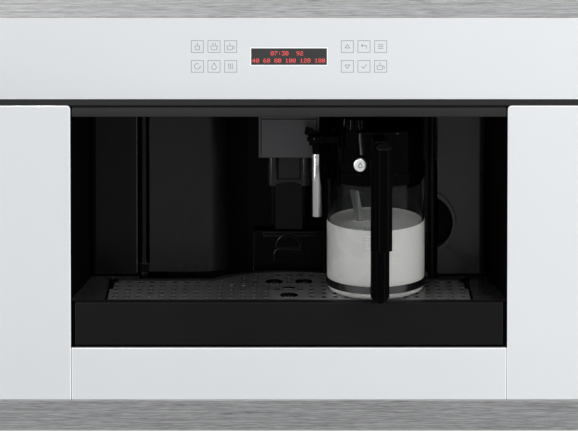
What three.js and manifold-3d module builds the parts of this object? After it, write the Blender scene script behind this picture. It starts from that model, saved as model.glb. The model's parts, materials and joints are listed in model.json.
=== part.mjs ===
// A built-in coffee machine for a 560 x 450 mm kitchen niche: a white glass front with steel trims, an open
// cup bay with a height-adjustable spout, a drip tray, a service door, a slide-out water tank and a milk jug.
// The whole machine rolls out of the niche on two telescopic runners.
// Units are millimetres. +X is to the right, +Y goes back into the niche, +Z is up.
// Inside this file the glass face is the plane y = 0, and the niche floor is z = 0.
import * as THREE from "three";
import { mergeVertices } from "three/addons/utils/BufferGeometryUtils.js";
import Module from "manifold-3d";

const wasm = await Module();
wasm.setup();

// ---------------------------------------------------------------- driving dimensions
const GAP = 0.3; // clearance between pieces that touch
const RUN = 0.6; // clearance between pieces that slide past each other
const NICHE_W = 560; // standard niche width
const FRONT_OVERLAP = 17.5; // how far the front covers the cabinet at each side
const FRONT_W = NICHE_W + 2 * FRONT_OVERLAP;
const RUNNER_SPACE = 15; // room for a runner at each side
const CASE_W = NICHE_W - 2 * RUNNER_SPACE; // width of the sheet steel casing
const CASE_REAR = 398; // depth of the machine behind the glass face
const CASE_LIFT = 4; // the casing rolls this far above the niche floor
const SHEET = 1.5; // casing sheet thickness

// front panes and trims, from the bottom up
const GLASS_T = 5; // glass thickness
const GLASS_BEVEL = 0.8; // ground edge of each pane
const FRAME_BACK = 21; // rear of the moulded front frame
const SEAT_Y = 22; // plane where the front meets the cabinet
const SEAT_X = NICHE_W / 2 - 2; // the seat flanges start here and run out to the frame's side
const FRAME_WALL = 3; // wall of the front frame
const TRIM_T = 1.2; // steel trim sheet
const TRIM_PROUD = 0.6; // how far the trims stand in front of the glass
const BOTTOM_TRIM_H = 32;
const LOWER_PANE_TOP = 87;
const OPENING_X = 222.3; // half width of the cup bay's mouth
const OPENING_TOP = 329.7; // underside of the header bar
const HEADER_H = 10.5;
const COLUMN_RISE = 1.8; // the columns' tops stand this far above the header bar
const COLUMN_TOP = OPENING_TOP + HEADER_H + COLUMN_RISE;
const SHADOW_GAP = 7; // recessed dark band under the control pane
const CONTROL_PANE_BOTTOM = COLUMN_TOP + SHADOW_GAP;
const CONTROL_PANE_H = 85.3;
const TOP_TRIM_H = 20.4;
const FRONT_H = CONTROL_PANE_BOTTOM + CONTROL_PANE_H + GAP + TOP_TRIM_H;
const CASE_TOP = FRONT_H - 15; // the casing's top stays under the niche's ceiling
const DISPLAY_W = 78.4;
const DISPLAY_H = 18.9;
const DISPLAY_Z0 = CONTROL_PANE_BOTTOM + 35.4;
const KEY_BOARD_X = 118; // half width of the touch key board
const MODULE_MARGIN = 4.5; // border of the display module around the window
const BOARD_T = 1.6; // circuit board thickness
const BOARD_MARGIN_LOW = 10; // from the control pane's lower edge to the window for the key board
const BOARD_MARGIN_HIGH = 6;
const PAD_T = 2.8; // the frame's bars that fill the gaps between the panes

// cup bay
const PANEL_Y = 102; // front faces of the panels at the back of the bay
const PANEL_T = 3;
const BAY_X = 203; // half width of the bay at the panels
const LINER_T = 2.5;
const LINER_FLOOR = 88.4; // top of the liner's floor
const LINER_TOP = OPENING_TOP + GAP; // underside of the liner's ceiling
const PANEL_BOTTOM = 137.6; // lower edge of the side panels
const PANEL_TOP = OPENING_TOP;
const FIXED_PANEL_X = 155; // inner edge of the left fixed panel
const POST_X = 148.5; // hinge post at the left; the right post is a little further in
const RIGHT_POST_X = 146;
const POST_R = 3.4;
const POST_Y = 105.5;
const DOOR_X0 = 142.5; // hinge-side edge of the service door
const DOOR_X1 = 62; // outer face of the door's return
const DOOR_BEND = 28; // outer radius of the door's bend
const DOOR_BACK = 150; // end of the door's return
const DOOR_BOTTOM = 140.1;
const DOOR_TOP = 328.5;
const KNUCKLE_H = 9; // hinge knuckles of the door
const RECESS_BACK_Y = 152; // back wall behind the spout
const GUIDE_X = 14; // half width of the spout's guide column
const GUIDE_Y = 119; // front of the guide column
const GUIDE_BOTTOM = 180.5;
const JUG_WALL_Y = 113.5; // front of the wall behind the milk jug

// spout
const SPOUT_Y = 45; // front face of the spout cover
const SPOUT_X = 31; // half width of the cover
const SPOUT_CHAMFER = 3.2;
const SPOUT_BOTTOM = 275.5;
const SPOUT_TOP = 328.4;
const SPOUT_WALL = 2.2;
const NOZZLE_X = 16.5;
const NOZZLE_Y = 57;
const NOZZLE_R = 6.4;
const NOZZLE_BORE = 3.5;
const NOZZLE_BOTTOM = 244.6;
const WEB_BOTTOM = 246; // foot of the web between the nozzles
const WEB_ARCH = 2.5; // rise of the web's arched foot
const WEB_LIP = 4.7; // height of the thicker lip along that foot
const COFFEE_PIPE_Y = 84; // the fixed coffee pipe that the spout's well slides along
const COFFEE_PIPE_R = 3;

// drip tray
const TRAY_TOP = 134.5;
const TRAY_FLOOR = LINER_FLOOR + GAP;
const TRAY_WALL = 2.2;
const TRAY_MARGIN = 1.2; // clearance between the tray and the bay's cheeks
const TRAY_DECK = 3; // thickness of the deck around the cup grid
const FASCIA_X = 217.7;
const FASCIA_Y = 1.6;
const FASCIA_T = 3;
const FASCIA_LIP = 10.6; // rear edge of the fascia's top lip
const FASCIA_BOTTOM = 90.4;
const FASCIA_TOP = 134.8;
const TRAY_BACK = 96.5; // rear wall of the tray beside the recess
const WING_X = 153; // beyond this half width the tray reaches further back, under the panels
const WING_BACK = 107.2;
const GRID_X = 185; // half width of the cup grid, at its front
const GRID_FAN = 0.00027; // share by which the grid and its columns of holes narrow per mm of depth
const GRID_FRONT = 14;
const GRID_BACK = 86;
const GRID_T = 1.5;
const GRID_LEDGE = 3;
const GRID_END_LEDGE = 8;
const GRID_FINGER = 3; // gap between each end of the grid and the deck
const GRID_NOTCH = 3.2; // the rear half of each end is cut back by this much for a finger
const NOTCH_Y = 55;
const POCKET_X = 10; // the deck's finger pocket reaches this far in behind the grid's corner
const POCKET_BACK = 101.5;
const GRID_CORNER = 7;
const GRID_RIM = 8; // width of the deck round the bulge
const BULGE_Y = 17; // centre of the round bulge of the tray that reaches under the spout
const BULGE_SPACE = 2.6; // space between the bulge and the grounds container
const BULGE_COLUMNS = 4; // columns of holes at each side of the middle that run on into the bulge
const HOLE_R = 2.5;
const HOLE_PITCH_X = 11.87;
const HOLE_PITCH_Y = 14.05;
const HOLE_FIRST_Y = 23.9;
const HOLE_ROWS = 7;
const SLOT_Y = 60; // short slot in the middle of the grid
const SLOT_HALF = 2.6; // half distance between the centres of the slot's round ends
const SLOT_R = 3.4;
const DRAIN_R = 9;
const DRAINS = [
  [-15.2, 83.4],
  [15.2, 83.4],
  [0, 30.5],
];
const GROUNDS_X = 36; // half width of the coffee grounds container
const GROUNDS_Y0 = 131.6;
const GROUNDS_Y1 = 200;
const GROUNDS_TOP = 174;
const GROUNDS_WALL = 2;

// water tank
const TANK_X0 = 151.6;
const TANK_X1 = 200;
const TANK_BODY_Y0 = 126;
const TANK_BODY_Y1 = 372;
const TANK_TOP = 318;
const TANK_WALL = 2.2;
const TANK_FRONT_TOP = 328.5;
const SHELF_T = 2.5;
const SHELF_BACK = 384;
const HANDLE_Z = 192.8; // centre of the half-round finger cut-out
const HANDLE_X = 135.3;
const HANDLE_R = 35.5;
const HANDLE_INNER_X = 137.3;
const HANDLE_INNER_R = 30;
const HANDLE_PROUD = 4.5;
const TANK_OUTLET_X = 177.4;
const TANK_OUTLET_Z = 151.5;
const VALVE_R = 4.5;

// milk jug
const JUG_X = 88.5;
const JUG_Y = 55;
const JUG_R = 50;
const JUG_WALL = 2.6;
const JUG_BASE = TRAY_TOP + GAP;
const GLASS_TOP = 262;
const BAND_Z0 = 142.4;
const BAND_Z1 = 150;
const BAND_T = 0.9;
const COLLAR_Z0 = 255;
const COLLAR_Z1 = 268;
const COLLAR_T = 1.4;
const LID_Z0 = COLLAR_Z1 + GAP;
const LID_TOP = 313;
const LID_WALL = 3;
const LID_EDGE = 3; // rounding of the lid's top edge
const PLUG_R = 46.8;
const PLUG_BOTTOM = 250;
const HANDLE_TURN = 3.1; // degrees the handle is turned to the right of straight forward
const SPINE_W = 18.9; // width of the handle's spine and of its arm
const SPINE_BOTTOM = 138.6; // lowest point of the spine
const SPINE_POINT = 8.2; // the spine narrows to that point over this height
const ARM_TOP = 312; // top of the arm that joins the grip to the collar
const FINGER_TOP = 281; // top of the room for the fingers behind the grip
const GRIP_OUT = 84; // front of the grip, from the jug's axis
const GRIP_DEPTH = 15;
const GRIP_W = 17.6;
const GRIP_Z0 = 196;
const GRIP_FACE_TOP = 303.4; // the grip's front face ends here and slopes back
const GRIP_SLOPE = 8; // depth of that slope
const GRIP_TOP = 309;
const GRIP_SHIFT = 3.3; // the grip's shell sits this far to the right of the handle's spine
const DIAL_X = -21.9; // froth dial, from the jug's axis
const DIAL_Y = -35;
const DIAL_R = 12.7;
const DIAL_TOP = LID_TOP + 12.6;
const BOSS_BOTTOM = 279;
const BUTTON_X = -16; // clean button, from the jug's axis
const BUTTON_Z = 279;
const BUTTON_R = 7;
const BUTTON_FACE_Y = -53; // front of the button, from the jug's axis
const BUTTON_DEPTH = 6.5;
const BUTTON_TRAVEL = 2.5;
const COLLAR_R = 9.6; // collar around the button
const SWIVEL_X = -60.5; // milk spout, from the jug's axis
const SWIVEL_Y = -27;
const SWIVEL_Z = 300;
const SWIVEL_R = 7.6;
const SPIKE_R = 2.4; // pin that the milk spout turns on
const MILK_TUBE_R = 5.6;
const MILK_TUBE_TOP = 285.5;
const MILK_TUBE_BOTTOM = 219;
const STEAM_Z = 292;
const STEAM_PIN_R = 4;
const STEAM_SOCKET_R = 7.5;
const INTAKE_X = -24; // clear pick-up tube, from the jug's axis
const INTAKE_R = 4.2;

// telescopic runners
const RUNNER_Y0 = 46;
const RUNNER_Y1 = 391;
const RUNNER_Z = 34; // centre height of the runner profile
const RUNNER_OUT = NICHE_W / 2; // the runners' outer faces meet the niche walls
const RUNNER_HALF = 22;
const RUNNER_T = 1.5;
const BALL = 2.5; // space for the balls between the nested profiles
const FOOT_X = RUNNER_OUT - 18;

// inside the casing
const BREW_X0 = -190;
const BREW_X1 = -84;
const BREW_Y0 = 164;
const BREW_Y1 = 292;
const BREW_TOP = 296;
const GRINDER_X = -135;
const GRINDER_Y = 232;
const GRINDER_R = 44;
const GRINDER_TOP = 372;
const MOTOR_DX = 74; // from the grinder's axis to its motor's
const MOTOR_TOP = 60; // top of the motor above the brew unit
const HOPPER_X0 = -212;
const HOPPER_X1 = -68;
const HOPPER_Y0 = 158;
const HOPPER_Y1 = 306;
const HOPPER_WALL = 2.5;
const LID_T = 3;
const KNOB_X = -46;
const KNOB_Y = 232;
const KNOB_R = 13;
const CHUTE_X0 = -50; // funnel for ground coffee
const CHUTE_X1 = -16;
const CHUTE_Y0 = 264;
const CHUTE_Y1 = 298;
const VENTS = 8; // ventilation slots of the back panel
const VENT_X0 = 40;
const VENT_PITCH = 22;
const VENT_W = 8;
const VENT_H = 80;
const INLET_X = -190;
const INLET_Z = 60;
const SWITCH_X = -161;
const ROCKER_X = 6.4; // half width of the switch's rocker
const ROCKER_PIN_R = 1.6;
const MAINS_X0 = -205; // cut-out of the back panel for the mains module
const MAINS_X1 = -150.5;
const MAINS_HALF = 12.5;
const BOILER_X0 = 74;
const BOILER_X1 = 146;
const BOILER_Y0 = 178;
const BOILER_Y1 = 226;
const PUMP_X = 124;
const PUMP_Y0 = 240;
const PUMP_Y1 = 356;
const PUMP_RISE = 31; // height of the pump's axis above the casing's floor
const BOILER_PIPE_Z = 109.6; // lower end of the steam pipe, on top of the upper boiler's rib
const PIPE_R = 3;
const POWER_BOARD_Y0 = 120;
const POWER_BOARD_D = 140;
const POWER_BOARD_Z0 = 130;
const POWER_BOARD_H = 170;

// ---------------------------------------------------------------- materials
const finish = (color, roughness, metalness, more = {}) =>
  new THREE.MeshStandardMaterial({ color, roughness, metalness, ...more });
const brushedSteel = finish(0xb8b8b8, 0.35, 1);
const whiteGlass = finish(0xe6e7ea, 0.08, 0);
const smokedWindow = finish(0x20242c, 0.1, 0);
const blackGloss = finish(0x0b0b0c, 0.15, 0);
const blackSatin = finish(0x1c1c1d, 0.4, 0);
const blackPanel = finish(0x262627, 0.35, 0);
const darkPlate = finish(0x4a4a4c, 0.35, 0.6);
const chrome = finish(0xd8d8da, 0.08, 1);
const silverButton = finish(0xc9c9cb, 0.25, 0.8);
const clearGlass = finish(0xf2f5f5, 0.03, 0, { transparent: true, opacity: 0.3 });
const clearPlastic = finish(0xcfdbe0, 0.1, 0, { transparent: true, opacity: 0.4 });
const gridSteel = finish(0x8c8c8e, 0.25, 1);
const darkBand = finish(0x3c3c3e, 0.2, 1);
const zincSheet = finish(0xa9adb0, 0.45, 0.9);
const runnerZinc = finish(0xbfc3c6, 0.3, 1);
const circuitGreen = finish(0x1f5a3c, 0.5, 0.1);
const castAluminium = finish(0x9fa2a4, 0.5, 0.9);
const greyPlastic = finish(0x55585a, 0.5, 0);
const pumpBrass = finish(0xb09050, 0.4, 0.8);
const smokedPlastic = finish(0x3a3430, 0.15, 0, { transparent: true, opacity: 0.6 });

// ---------------------------------------------------------------- solid helpers
const AXIS = {
  x: new THREE.Vector3(1, 0, 0),
  y: new THREE.Vector3(0, 1, 0),
  z: new THREE.Vector3(0, 0, 1),
};

// A closed three.js geometry as a solid of the boolean library.
function toSolid(geometry) {
  const bare = new THREE.BufferGeometry();
  bare.setAttribute("position", geometry.getAttribute("position"));
  if (geometry.index) bare.setIndex(geometry.index);
  const merged = mergeVertices(bare, 1e-4);
  const old = merged.index.array;
  const kept = [];
  for (let i = 0; i < old.length; i += 3) {
    const [a, b, c] = [old[i], old[i + 1], old[i + 2]];
    if (a !== b && b !== c && a !== c) kept.push(a, b, c);
  }
  const build = (triangles) =>
    new wasm.Manifold(
      new wasm.Mesh({
        numProp: 3,
        vertProperties: merged.attributes.position.array,
        triVerts: new Uint32Array(triangles),
      }),
    );
  const solid = build(kept);
  if (solid.volume() >= 0) return solid;
  const turned = [];
  for (let i = 0; i < kept.length; i += 3) turned.push(kept[i], kept[i + 2], kept[i + 1]);
  return build(turned);
}

// The solid's triangles as a three.js geometry, with flat normals.
function toGeometry(solid) {
  const mesh = solid.getMesh();
  const indexed = new THREE.BufferGeometry();
  const points = new Float32Array(mesh.numVert * 3);
  for (let i = 0; i < mesh.numVert; i++) {
    for (let k = 0; k < 3; k++) points[i * 3 + k] = mesh.vertProperties[i * mesh.numProp + k];
  }
  indexed.setAttribute("position", new THREE.BufferAttribute(points, 3));
  indexed.setIndex(new THREE.BufferAttribute(new Uint32Array(mesh.triVerts), 1));
  const geometry = indexed.toNonIndexed();
  geometry.computeVertexNormals();
  return geometry;
}

const combine = (how) => (first, ...others) =>
  toGeometry(others.reduce((made, next) => made[how](toSolid(next)), toSolid(first)));
const join = combine("add");
const cut = combine("subtract");
const overlapOf = combine("intersect");

// A box between two corners.
function block(x0, x1, y0, y1, z0, z1) {
  const box = new THREE.BoxGeometry(x1 - x0, y1 - y0, z1 - z0);
  return box.translate((x0 + x1) / 2, (y0 + y1) / 2, (z0 + z1) / 2);
}

// A cylinder along an axis, from one coordinate to another on it, around (u, v) in the other two.
function rod(axis, u, v, radius, from, to, sides = 24, endRadius = radius) {
  const made = new THREE.CylinderGeometry(endRadius, radius, to - from, sides);
  made.translate(0, (from + to) / 2, 0);
  if (axis === "x") return made.rotateZ(-Math.PI / 2).translate(0, u, v);
  if (axis === "y") return made.translate(u, 0, v);
  return made.rotateX(Math.PI / 2).translate(u, v, 0);
}

const shapeOf = (points) => new THREE.Shape(points.map(([a, b]) => new THREE.Vector2(a, b)));

// A flat outline pulled along an axis. The outline is in (x, y) for z, (x, z) for y and (y, z) for x.
function pull(axis, outline, from, to, bevel = 0) {
  const shape = outline instanceof THREE.Shape ? outline : shapeOf(outline);
  const made = new THREE.ExtrudeGeometry(shape, {
    depth: to - from - 2 * bevel,
    bevelEnabled: bevel > 0,
    bevelSize: bevel,
    bevelThickness: bevel,
    bevelOffset: -bevel,
    bevelSegments: 1,
    curveSegments: 8,
  });
  made.translate(0, 0, from + bevel);
  if (axis === "z") return made;
  if (axis === "x") {
    return made.applyMatrix4(new THREE.Matrix4().makeBasis(AXIS.y, AXIS.z, AXIS.x));
  }
  made.scale(1, 1, -1);
  const turned = made.applyMatrix4(
    new THREE.Matrix4().makeBasis(AXIS.x, AXIS.z, AXIS.y.clone().negate()),
  );
  return toGeometry(toSolid(turned));
}

// A profile of [radius, z] points turned around the z axis.
function turn(profile, sides = 40) {
  const lathe = new THREE.LatheGeometry(
    profile.map(([r, z]) => new THREE.Vector2(r, z)),
    sides,
  );
  return toGeometry(toSolid(lathe.rotateX(Math.PI / 2)));
}

// Points of an arc around (cx, cy), from one angle to another in degrees.
function arc(cx, cy, radius, fromDeg, toDeg, steps) {
  const points = [];
  for (let i = 0; i <= steps; i++) {
    const a = THREE.MathUtils.degToRad(fromDeg + ((toDeg - fromDeg) * i) / steps);
    points.push([cx + radius * Math.cos(a), cy + radius * Math.sin(a)]);
  }
  return points;
}

const mirrored = (points) => points.map(([x, y]) => [-x, y]).reverse();

// ---------------------------------------------------------------- the tree of groups
const machine = new THREE.Group();

function place(name, geometry, material, into = machine) {
  const mesh = new THREE.Mesh(geometry, material);
  mesh.name = name;
  into.add(mesh);
  return mesh;
}

function groupAt(x, y, z, into = machine) {
  const group = new THREE.Group();
  group.position.set(x, y, z);
  into.add(group);
  return group;
}

// ---------------------------------------------------------------- front
const halfFront = FRONT_W / 2;
const paneX = halfFront - GAP; // panes end just inside the trims' ends
const controlPaneTop = FRONT_H - TOP_TRIM_H - GAP;
const lowerPaneBottom = BOTTOM_TRIM_H + GAP;
const displayZ1 = DISPLAY_Z0 + DISPLAY_H;

function addTrims() {
  const face = -TRIM_PROUD;
  const returnY = FRAME_BACK - RUN;
  const top = [
    [face, FRONT_H - TOP_TRIM_H],
    [face + TRIM_T, FRONT_H - TOP_TRIM_H],
    [face + TRIM_T, FRONT_H - TRIM_T],
    [returnY, FRONT_H - TRIM_T],
    [returnY, FRONT_H],
    [face + TRIM_T / 2, FRONT_H],
    [face, FRONT_H - TRIM_T / 2],
  ];
  const bottom = [
    [face, BOTTOM_TRIM_H],
    [face, TRIM_T / 2],
    [face + TRIM_T / 2, 0],
    [returnY, 0],
    [returnY, TRIM_T],
    [face + TRIM_T, TRIM_T],
    [face + TRIM_T, BOTTOM_TRIM_H],
  ];
  place("top_trim", pull("x", top, -halfFront, halfFront), brushedSteel);
  place("bottom_trim", pull("x", bottom, -halfFront, halfFront), brushedSteel);
}

function addPanes() {
  const rectangle = (x0, x1, z0, z1) => [
    [x0, z0],
    [x1, z0],
    [x1, z1],
    [x0, z1],
  ];
  const pane = (outline) => pull("y", outline, 0, GLASS_T, GLASS_BEVEL);
  const control = cut(
    pane(rectangle(-paneX, paneX, CONTROL_PANE_BOTTOM, controlPaneTop)),
    block(-DISPLAY_W / 2, DISPLAY_W / 2, -1, GLASS_T + 1, DISPLAY_Z0, displayZ1),
  );
  place("control_panel_glass", control, whiteGlass);

  const cornerR = 4;
  const column = [
    [OPENING_X, lowerPaneBottom],
    [paneX, lowerPaneBottom],
    [paneX, COLUMN_TOP],
    ...arc(OPENING_X + cornerR, COLUMN_TOP - cornerR, cornerR, 90, 180, 4),
  ];
  place("right_column_glass", pane(column), whiteGlass);
  place("left_column_glass", pane(mirrored(column)), whiteGlass);
  const lowerX = OPENING_X - RUN;
  place(
    "lower_panel_glass",
    pane(rectangle(-lowerX, lowerX, lowerPaneBottom, LOWER_PANE_TOP)),
    whiteGlass,
  );
  place(
    "display_window",
    block(
      -DISPLAY_W / 2 + GAP,
      DISPLAY_W / 2 - GAP,
      GAP,
      GLASS_T,
      DISPLAY_Z0 + GAP,
      displayZ1 - GAP,
    ),
    smokedWindow,
  );
}

// The black moulding that the panes are bonded to, with pockets behind and flanges that meet the cabinet.
function addFrontFrame() {
  const front = GLASS_T + GAP;
  const x = halfFront - 1;
  const z0 = TRIM_T + GAP;
  const z1 = FRONT_H - TRIM_T - GAP;
  const trimPad = TRIM_T - TRIM_PROUD + GAP;
  const pads = [
    block(-x, x, trimPad, front, z0, BOTTOM_TRIM_H - GAP),
    block(-x, x, trimPad, front, FRONT_H - TOP_TRIM_H + GAP, z1),
    block(-x, x, front - PAD_T, front, COLUMN_TOP + GAP, CONTROL_PANE_BOTTOM - GAP),
  ];
  const flanges = [-1, 1].map((side) =>
    side > 0
      ? block(SEAT_X, x, FRAME_BACK, SEAT_Y, z0, z1)
      : block(-x, -SEAT_X, FRAME_BACK, SEAT_Y, z0, z1),
  );
  const pocketFront = front + FRAME_WALL;
  const pocket = (x0, x1, zA, zB) => block(x0, x1, pocketFront, SEAT_Y + 1, zA, zB);
  const sidePocket0 = OPENING_X + FRAME_WALL;
  const sidePocket1 = SEAT_X - FRAME_WALL;
  const pocketTop = controlPaneTop - 4.3;
  const mouth = block(
    -OPENING_X,
    OPENING_X,
    -1,
    SEAT_Y + 1,
    LOWER_PANE_TOP + GAP,
    OPENING_TOP + HEADER_H + GAP,
  );
  const boardWindow = block(
    -KEY_BOARD_X - RUN,
    KEY_BOARD_X + RUN,
    -1,
    SEAT_Y + 1,
    CONTROL_PANE_BOTTOM + BOARD_MARGIN_LOW,
    controlPaneTop - BOARD_MARGIN_HIGH,
  );
  const body = join(block(-x, x, front, FRAME_BACK, z0, z1), ...pads, ...flanges);
  const frame = cut(
    body,
    mouth,
    boardWindow,
    pocket(sidePocket0, sidePocket1, BOTTOM_TRIM_H + 4, pocketTop),
    pocket(-sidePocket1, -sidePocket0, BOTTOM_TRIM_H + 4, pocketTop),
    pocket(-OPENING_X + 6, OPENING_X - 6, TRIM_T + FRAME_WALL, LOWER_PANE_TOP - 4),
    pocket(KEY_BOARD_X + 10, OPENING_X, COLUMN_TOP + 4, pocketTop),
    pocket(-OPENING_X, -KEY_BOARD_X - 10, COLUMN_TOP + 4, pocketTop),
  );
  place("front_frame", frame, blackSatin);

  const top = OPENING_TOP + HEADER_H;
  const radius = 3.5;
  const bar = [
    [FRAME_BACK, OPENING_TOP],
    [FRAME_BACK, top],
    ...arc(1.4 + radius, top - radius, radius, 90, 180, 4),
    ...arc(1.4 + 2, OPENING_TOP + 2, 2, 180, 270, 3),
  ];
  place("header_bar", pull("x", bar, -OPENING_X + 1.5, OPENING_X - 1.5), blackSatin);
}

// Touch key board, bonded to the back of the control glass, with the display module on it.
function addControls() {
  const y0 = GLASS_T + GAP;
  const boardZ0 = CONTROL_PANE_BOTTOM + BOARD_MARGIN_LOW + RUN;
  const boardZ1 = controlPaneTop - BOARD_MARGIN_HIGH - RUN;
  const board = block(-KEY_BOARD_X, KEY_BOARD_X, y0, y0 + BOARD_T, boardZ0, boardZ1);
  const module = block(
    -DISPLAY_W / 2 - MODULE_MARGIN,
    DISPLAY_W / 2 + MODULE_MARGIN,
    y0,
    y0 + 8,
    DISPLAY_Z0 - MODULE_MARGIN,
    displayZ1 + MODULE_MARGIN,
  );
  const chipX = DISPLAY_W / 2 + MODULE_MARGIN;
  const chips = [-chipX - 50, -chipX - 26, chipX + 16, chipX + 42].map((x) =>
    block(x, x + 12, y0 + BOARD_T / 2, y0 + 4, DISPLAY_Z0 + 2, DISPLAY_Z0 + 14),
  );
  place("touch_display_board", join(board, module, ...chips), circuitGreen);
}

// ---------------------------------------------------------------- cup bay
const cheekFrontX = OPENING_X - GAP;
const cheekBackX = BAY_X + 0.7;
const linerFront = FRAME_BACK + GAP;
const ceilingBack = RECESS_BACK_Y + 6;
const shelfZ = PANEL_BOTTOM - GAP - 0.3; // top of the tank's shelf

// Cheeks, ceiling and floor of the bay, and the shelf and side wall of the tank's bay.
function addLiner() {
  const z0 = LINER_FLOOR - LINER_T;
  const z1 = LINER_TOP + LINER_T;
  const outline = (grow, back) => [
    [-cheekFrontX - grow, linerFront],
    [cheekFrontX + grow, linerFront],
    [cheekBackX + grow, PANEL_Y],
    [cheekBackX + grow, back],
    [-cheekBackX - grow, back],
    [-cheekBackX - grow, PANEL_Y],
  ];
  const outer = pull("z", outline(LINER_T, ceilingBack), z0, z1);
  const inner = pull("z", outline(0, ceilingBack + 1), LINER_FLOOR, LINER_TOP);
  const mouth = block(
    -cheekFrontX,
    cheekFrontX,
    linerFront - 1,
    linerFront + 1,
    LINER_FLOOR,
    LINER_TOP,
  );
  const pipeHole = rod("z", 0, COFFEE_PIPE_Y, COFFEE_PIPE_R + 1, z1 - 5, z1 + 1, 12);
  const shell = cut(outer, inner, mouth, pipeHole);
  const tankWallX = cheekBackX;
  const extras = [
    block(-66, 66, ceilingBack - 1, GROUNDS_Y1 + 8, z0, LINER_FLOOR), // floor under the grounds container
    block(tankWallX, tankWallX + LINER_T, ceilingBack - 1, SHELF_BACK, PANEL_BOTTOM - 8, z1),
    block(TANK_X0 - 1, tankWallX + 1, PANEL_Y + 6, SHELF_BACK, shelfZ - SHELF_T, shelfZ),
    block(TANK_X0 - 1, TANK_X0 + 2, PANEL_Y + 6, SHELF_BACK, z0, shelfZ),
    block(tankWallX - 1, tankWallX + 1, PANEL_Y + 12, ceilingBack, shelfZ - SHELF_T, z1),
  ];
  // the wall behind the tank holds the valve that the tank's outlet plugs on to
  const wallFront = SHELF_BACK - SHELF_T;
  const valveWall = block(TANK_X0 - 1, tankWallX + 1, wallFront, SHELF_BACK, shelfZ - 1, shelfZ + 40);
  const valveHole = rod("y", TANK_OUTLET_X, TANK_OUTLET_Z, VALVE_R + GAP, SHELF_BACK - 5, SHELF_BACK + 1, 16);
  place("cavity_liner", cut(join(shell, ...extras, valveWall), valveHole), blackSatin);
}

function addBayPanels() {
  const back = PANEL_Y + 10;
  const r = 6;
  const edge = cheekBackX - GAP;
  const fixed = [
    [-FIXED_PANEL_X, PANEL_Y],
    [-FIXED_PANEL_X, PANEL_Y + PANEL_T],
    [-edge + r, PANEL_Y + PANEL_T],
    [-edge + PANEL_T, PANEL_Y + r],
    [-edge + PANEL_T, back],
    [-edge, back],
    ...arc(-edge + r, PANEL_Y + r, r, 180, 270, 5),
  ];
  place("left_fixed_panel", pull("z", fixed, PANEL_BOTTOM, PANEL_TOP), blackPanel);

  const post = (x) => rod("z", x, POST_Y, POST_R, TRAY_FLOOR, PANEL_TOP, 16);
  const rest = rod("z", -POST_X, POST_Y, POST_R + 2, DOOR_BOTTOM - 3.3, DOOR_BOTTOM - GAP, 16);
  place("left_post", join(post(-POST_X), rest), blackGloss);

  // the flat wall behind the jug, with its side return and the hole for the steam nozzle
  const wall = join(
    post(RIGHT_POST_X),
    block(RIGHT_POST_X - 1.2, RIGHT_POST_X + 1.2, POST_Y, JUG_WALL_Y + 1, 137, PANEL_TOP),
    block(DOOR_X1 + 1, RIGHT_POST_X + 1.2, JUG_WALL_Y, JUG_WALL_Y + PANEL_T, 137, PANEL_TOP),
    block(DOOR_X1 + 1, DOOR_X1 + 1 + PANEL_T, JUG_WALL_Y, RECESS_BACK_Y - GAP, 137, PANEL_TOP),
  );
  const hole = rod("y", JUG_X, STEAM_Z, STEAM_PIN_R + 1.2 + GAP, JUG_WALL_Y - 1, JUG_WALL_Y + 5, 16);
  place("right_inner_panel", cut(wall, hole), blackPanel);

  // the back wall behind the spout, with the column that guides the spout
  const wallX = DOOR_X1 + 4;
  const back0 = RECESS_BACK_Y;
  const plate = block(-wallX, wallX, back0, back0 + 2.5, TRAY_FLOOR, PANEL_TOP);
  const column = join(
    block(-GUIDE_X, GUIDE_X, GUIDE_Y, back0 + 1, GUIDE_BOTTOM, PANEL_TOP),
    block(-GUIDE_X - 4, GUIDE_X + 4, back0 - 14, back0 + 1, GUIDE_BOTTOM, PANEL_TOP),
  );
  const slots = [-1, 1].map((side) =>
    block(
      side * GUIDE_X - 2.5,
      side * GUIDE_X + 2.5,
      GUIDE_Y + 6,
      GUIDE_Y + 13,
      GUIDE_BOTTOM - 1,
      PANEL_TOP + 1,
    ),
  );
  const mouth = block(
    -GROUNDS_X - RUN,
    GROUNDS_X + RUN,
    back0 - 1,
    back0 + 4,
    80,
    GROUNDS_TOP + RUN,
  );
  place("recess_back", cut(join(plate, column), ...slots, mouth), blackPanel);
}

// The service door: a flat panel bent back into the recess, hung on the left post by two knuckles.
function addServiceDoor() {
  const door = groupAt(-POST_X, POST_Y, 0);
  const at = (x) => POST_X - x; // design x (negative side) to the door's own frame
  const face = PANEL_Y - POST_Y;
  const inner = DOOR_BEND - PANEL_T;
  const bendX = at(DOOR_X1 + DOOR_BEND);
  const outline = [
    [at(DOOR_X0), face],
    ...arc(bendX, face + DOOR_BEND, DOOR_BEND, -90, 0, 8),
    [at(DOOR_X1), DOOR_BACK - POST_Y],
    [at(DOOR_X1) - PANEL_T, DOOR_BACK - POST_Y],
    ...arc(bendX, face + DOOR_BEND, inner, 0, -90, 8),
    [at(DOOR_X0), face + PANEL_T],
  ];
  const panel = pull("z", outline, DOOR_BOTTOM, DOOR_TOP);
  const knuckle = (z0) =>
    cut(
      join(
        rod("z", 0, 0, POST_R + 2.4, z0, z0 + KNUCKLE_H, 16),
        block(0, at(DOOR_X0) + 4, face + 0.8, face + PANEL_T, z0, z0 + KNUCKLE_H),
      ),
      rod("z", 0, 0, POST_R + GAP, z0 - 1, z0 + KNUCKLE_H + 1, 16),
    );
  const body = join(panel, knuckle(DOOR_BOTTOM), knuckle(DOOR_TOP - KNUCKLE_H));
  place("service_door", body, blackPanel, door);
}

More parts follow.
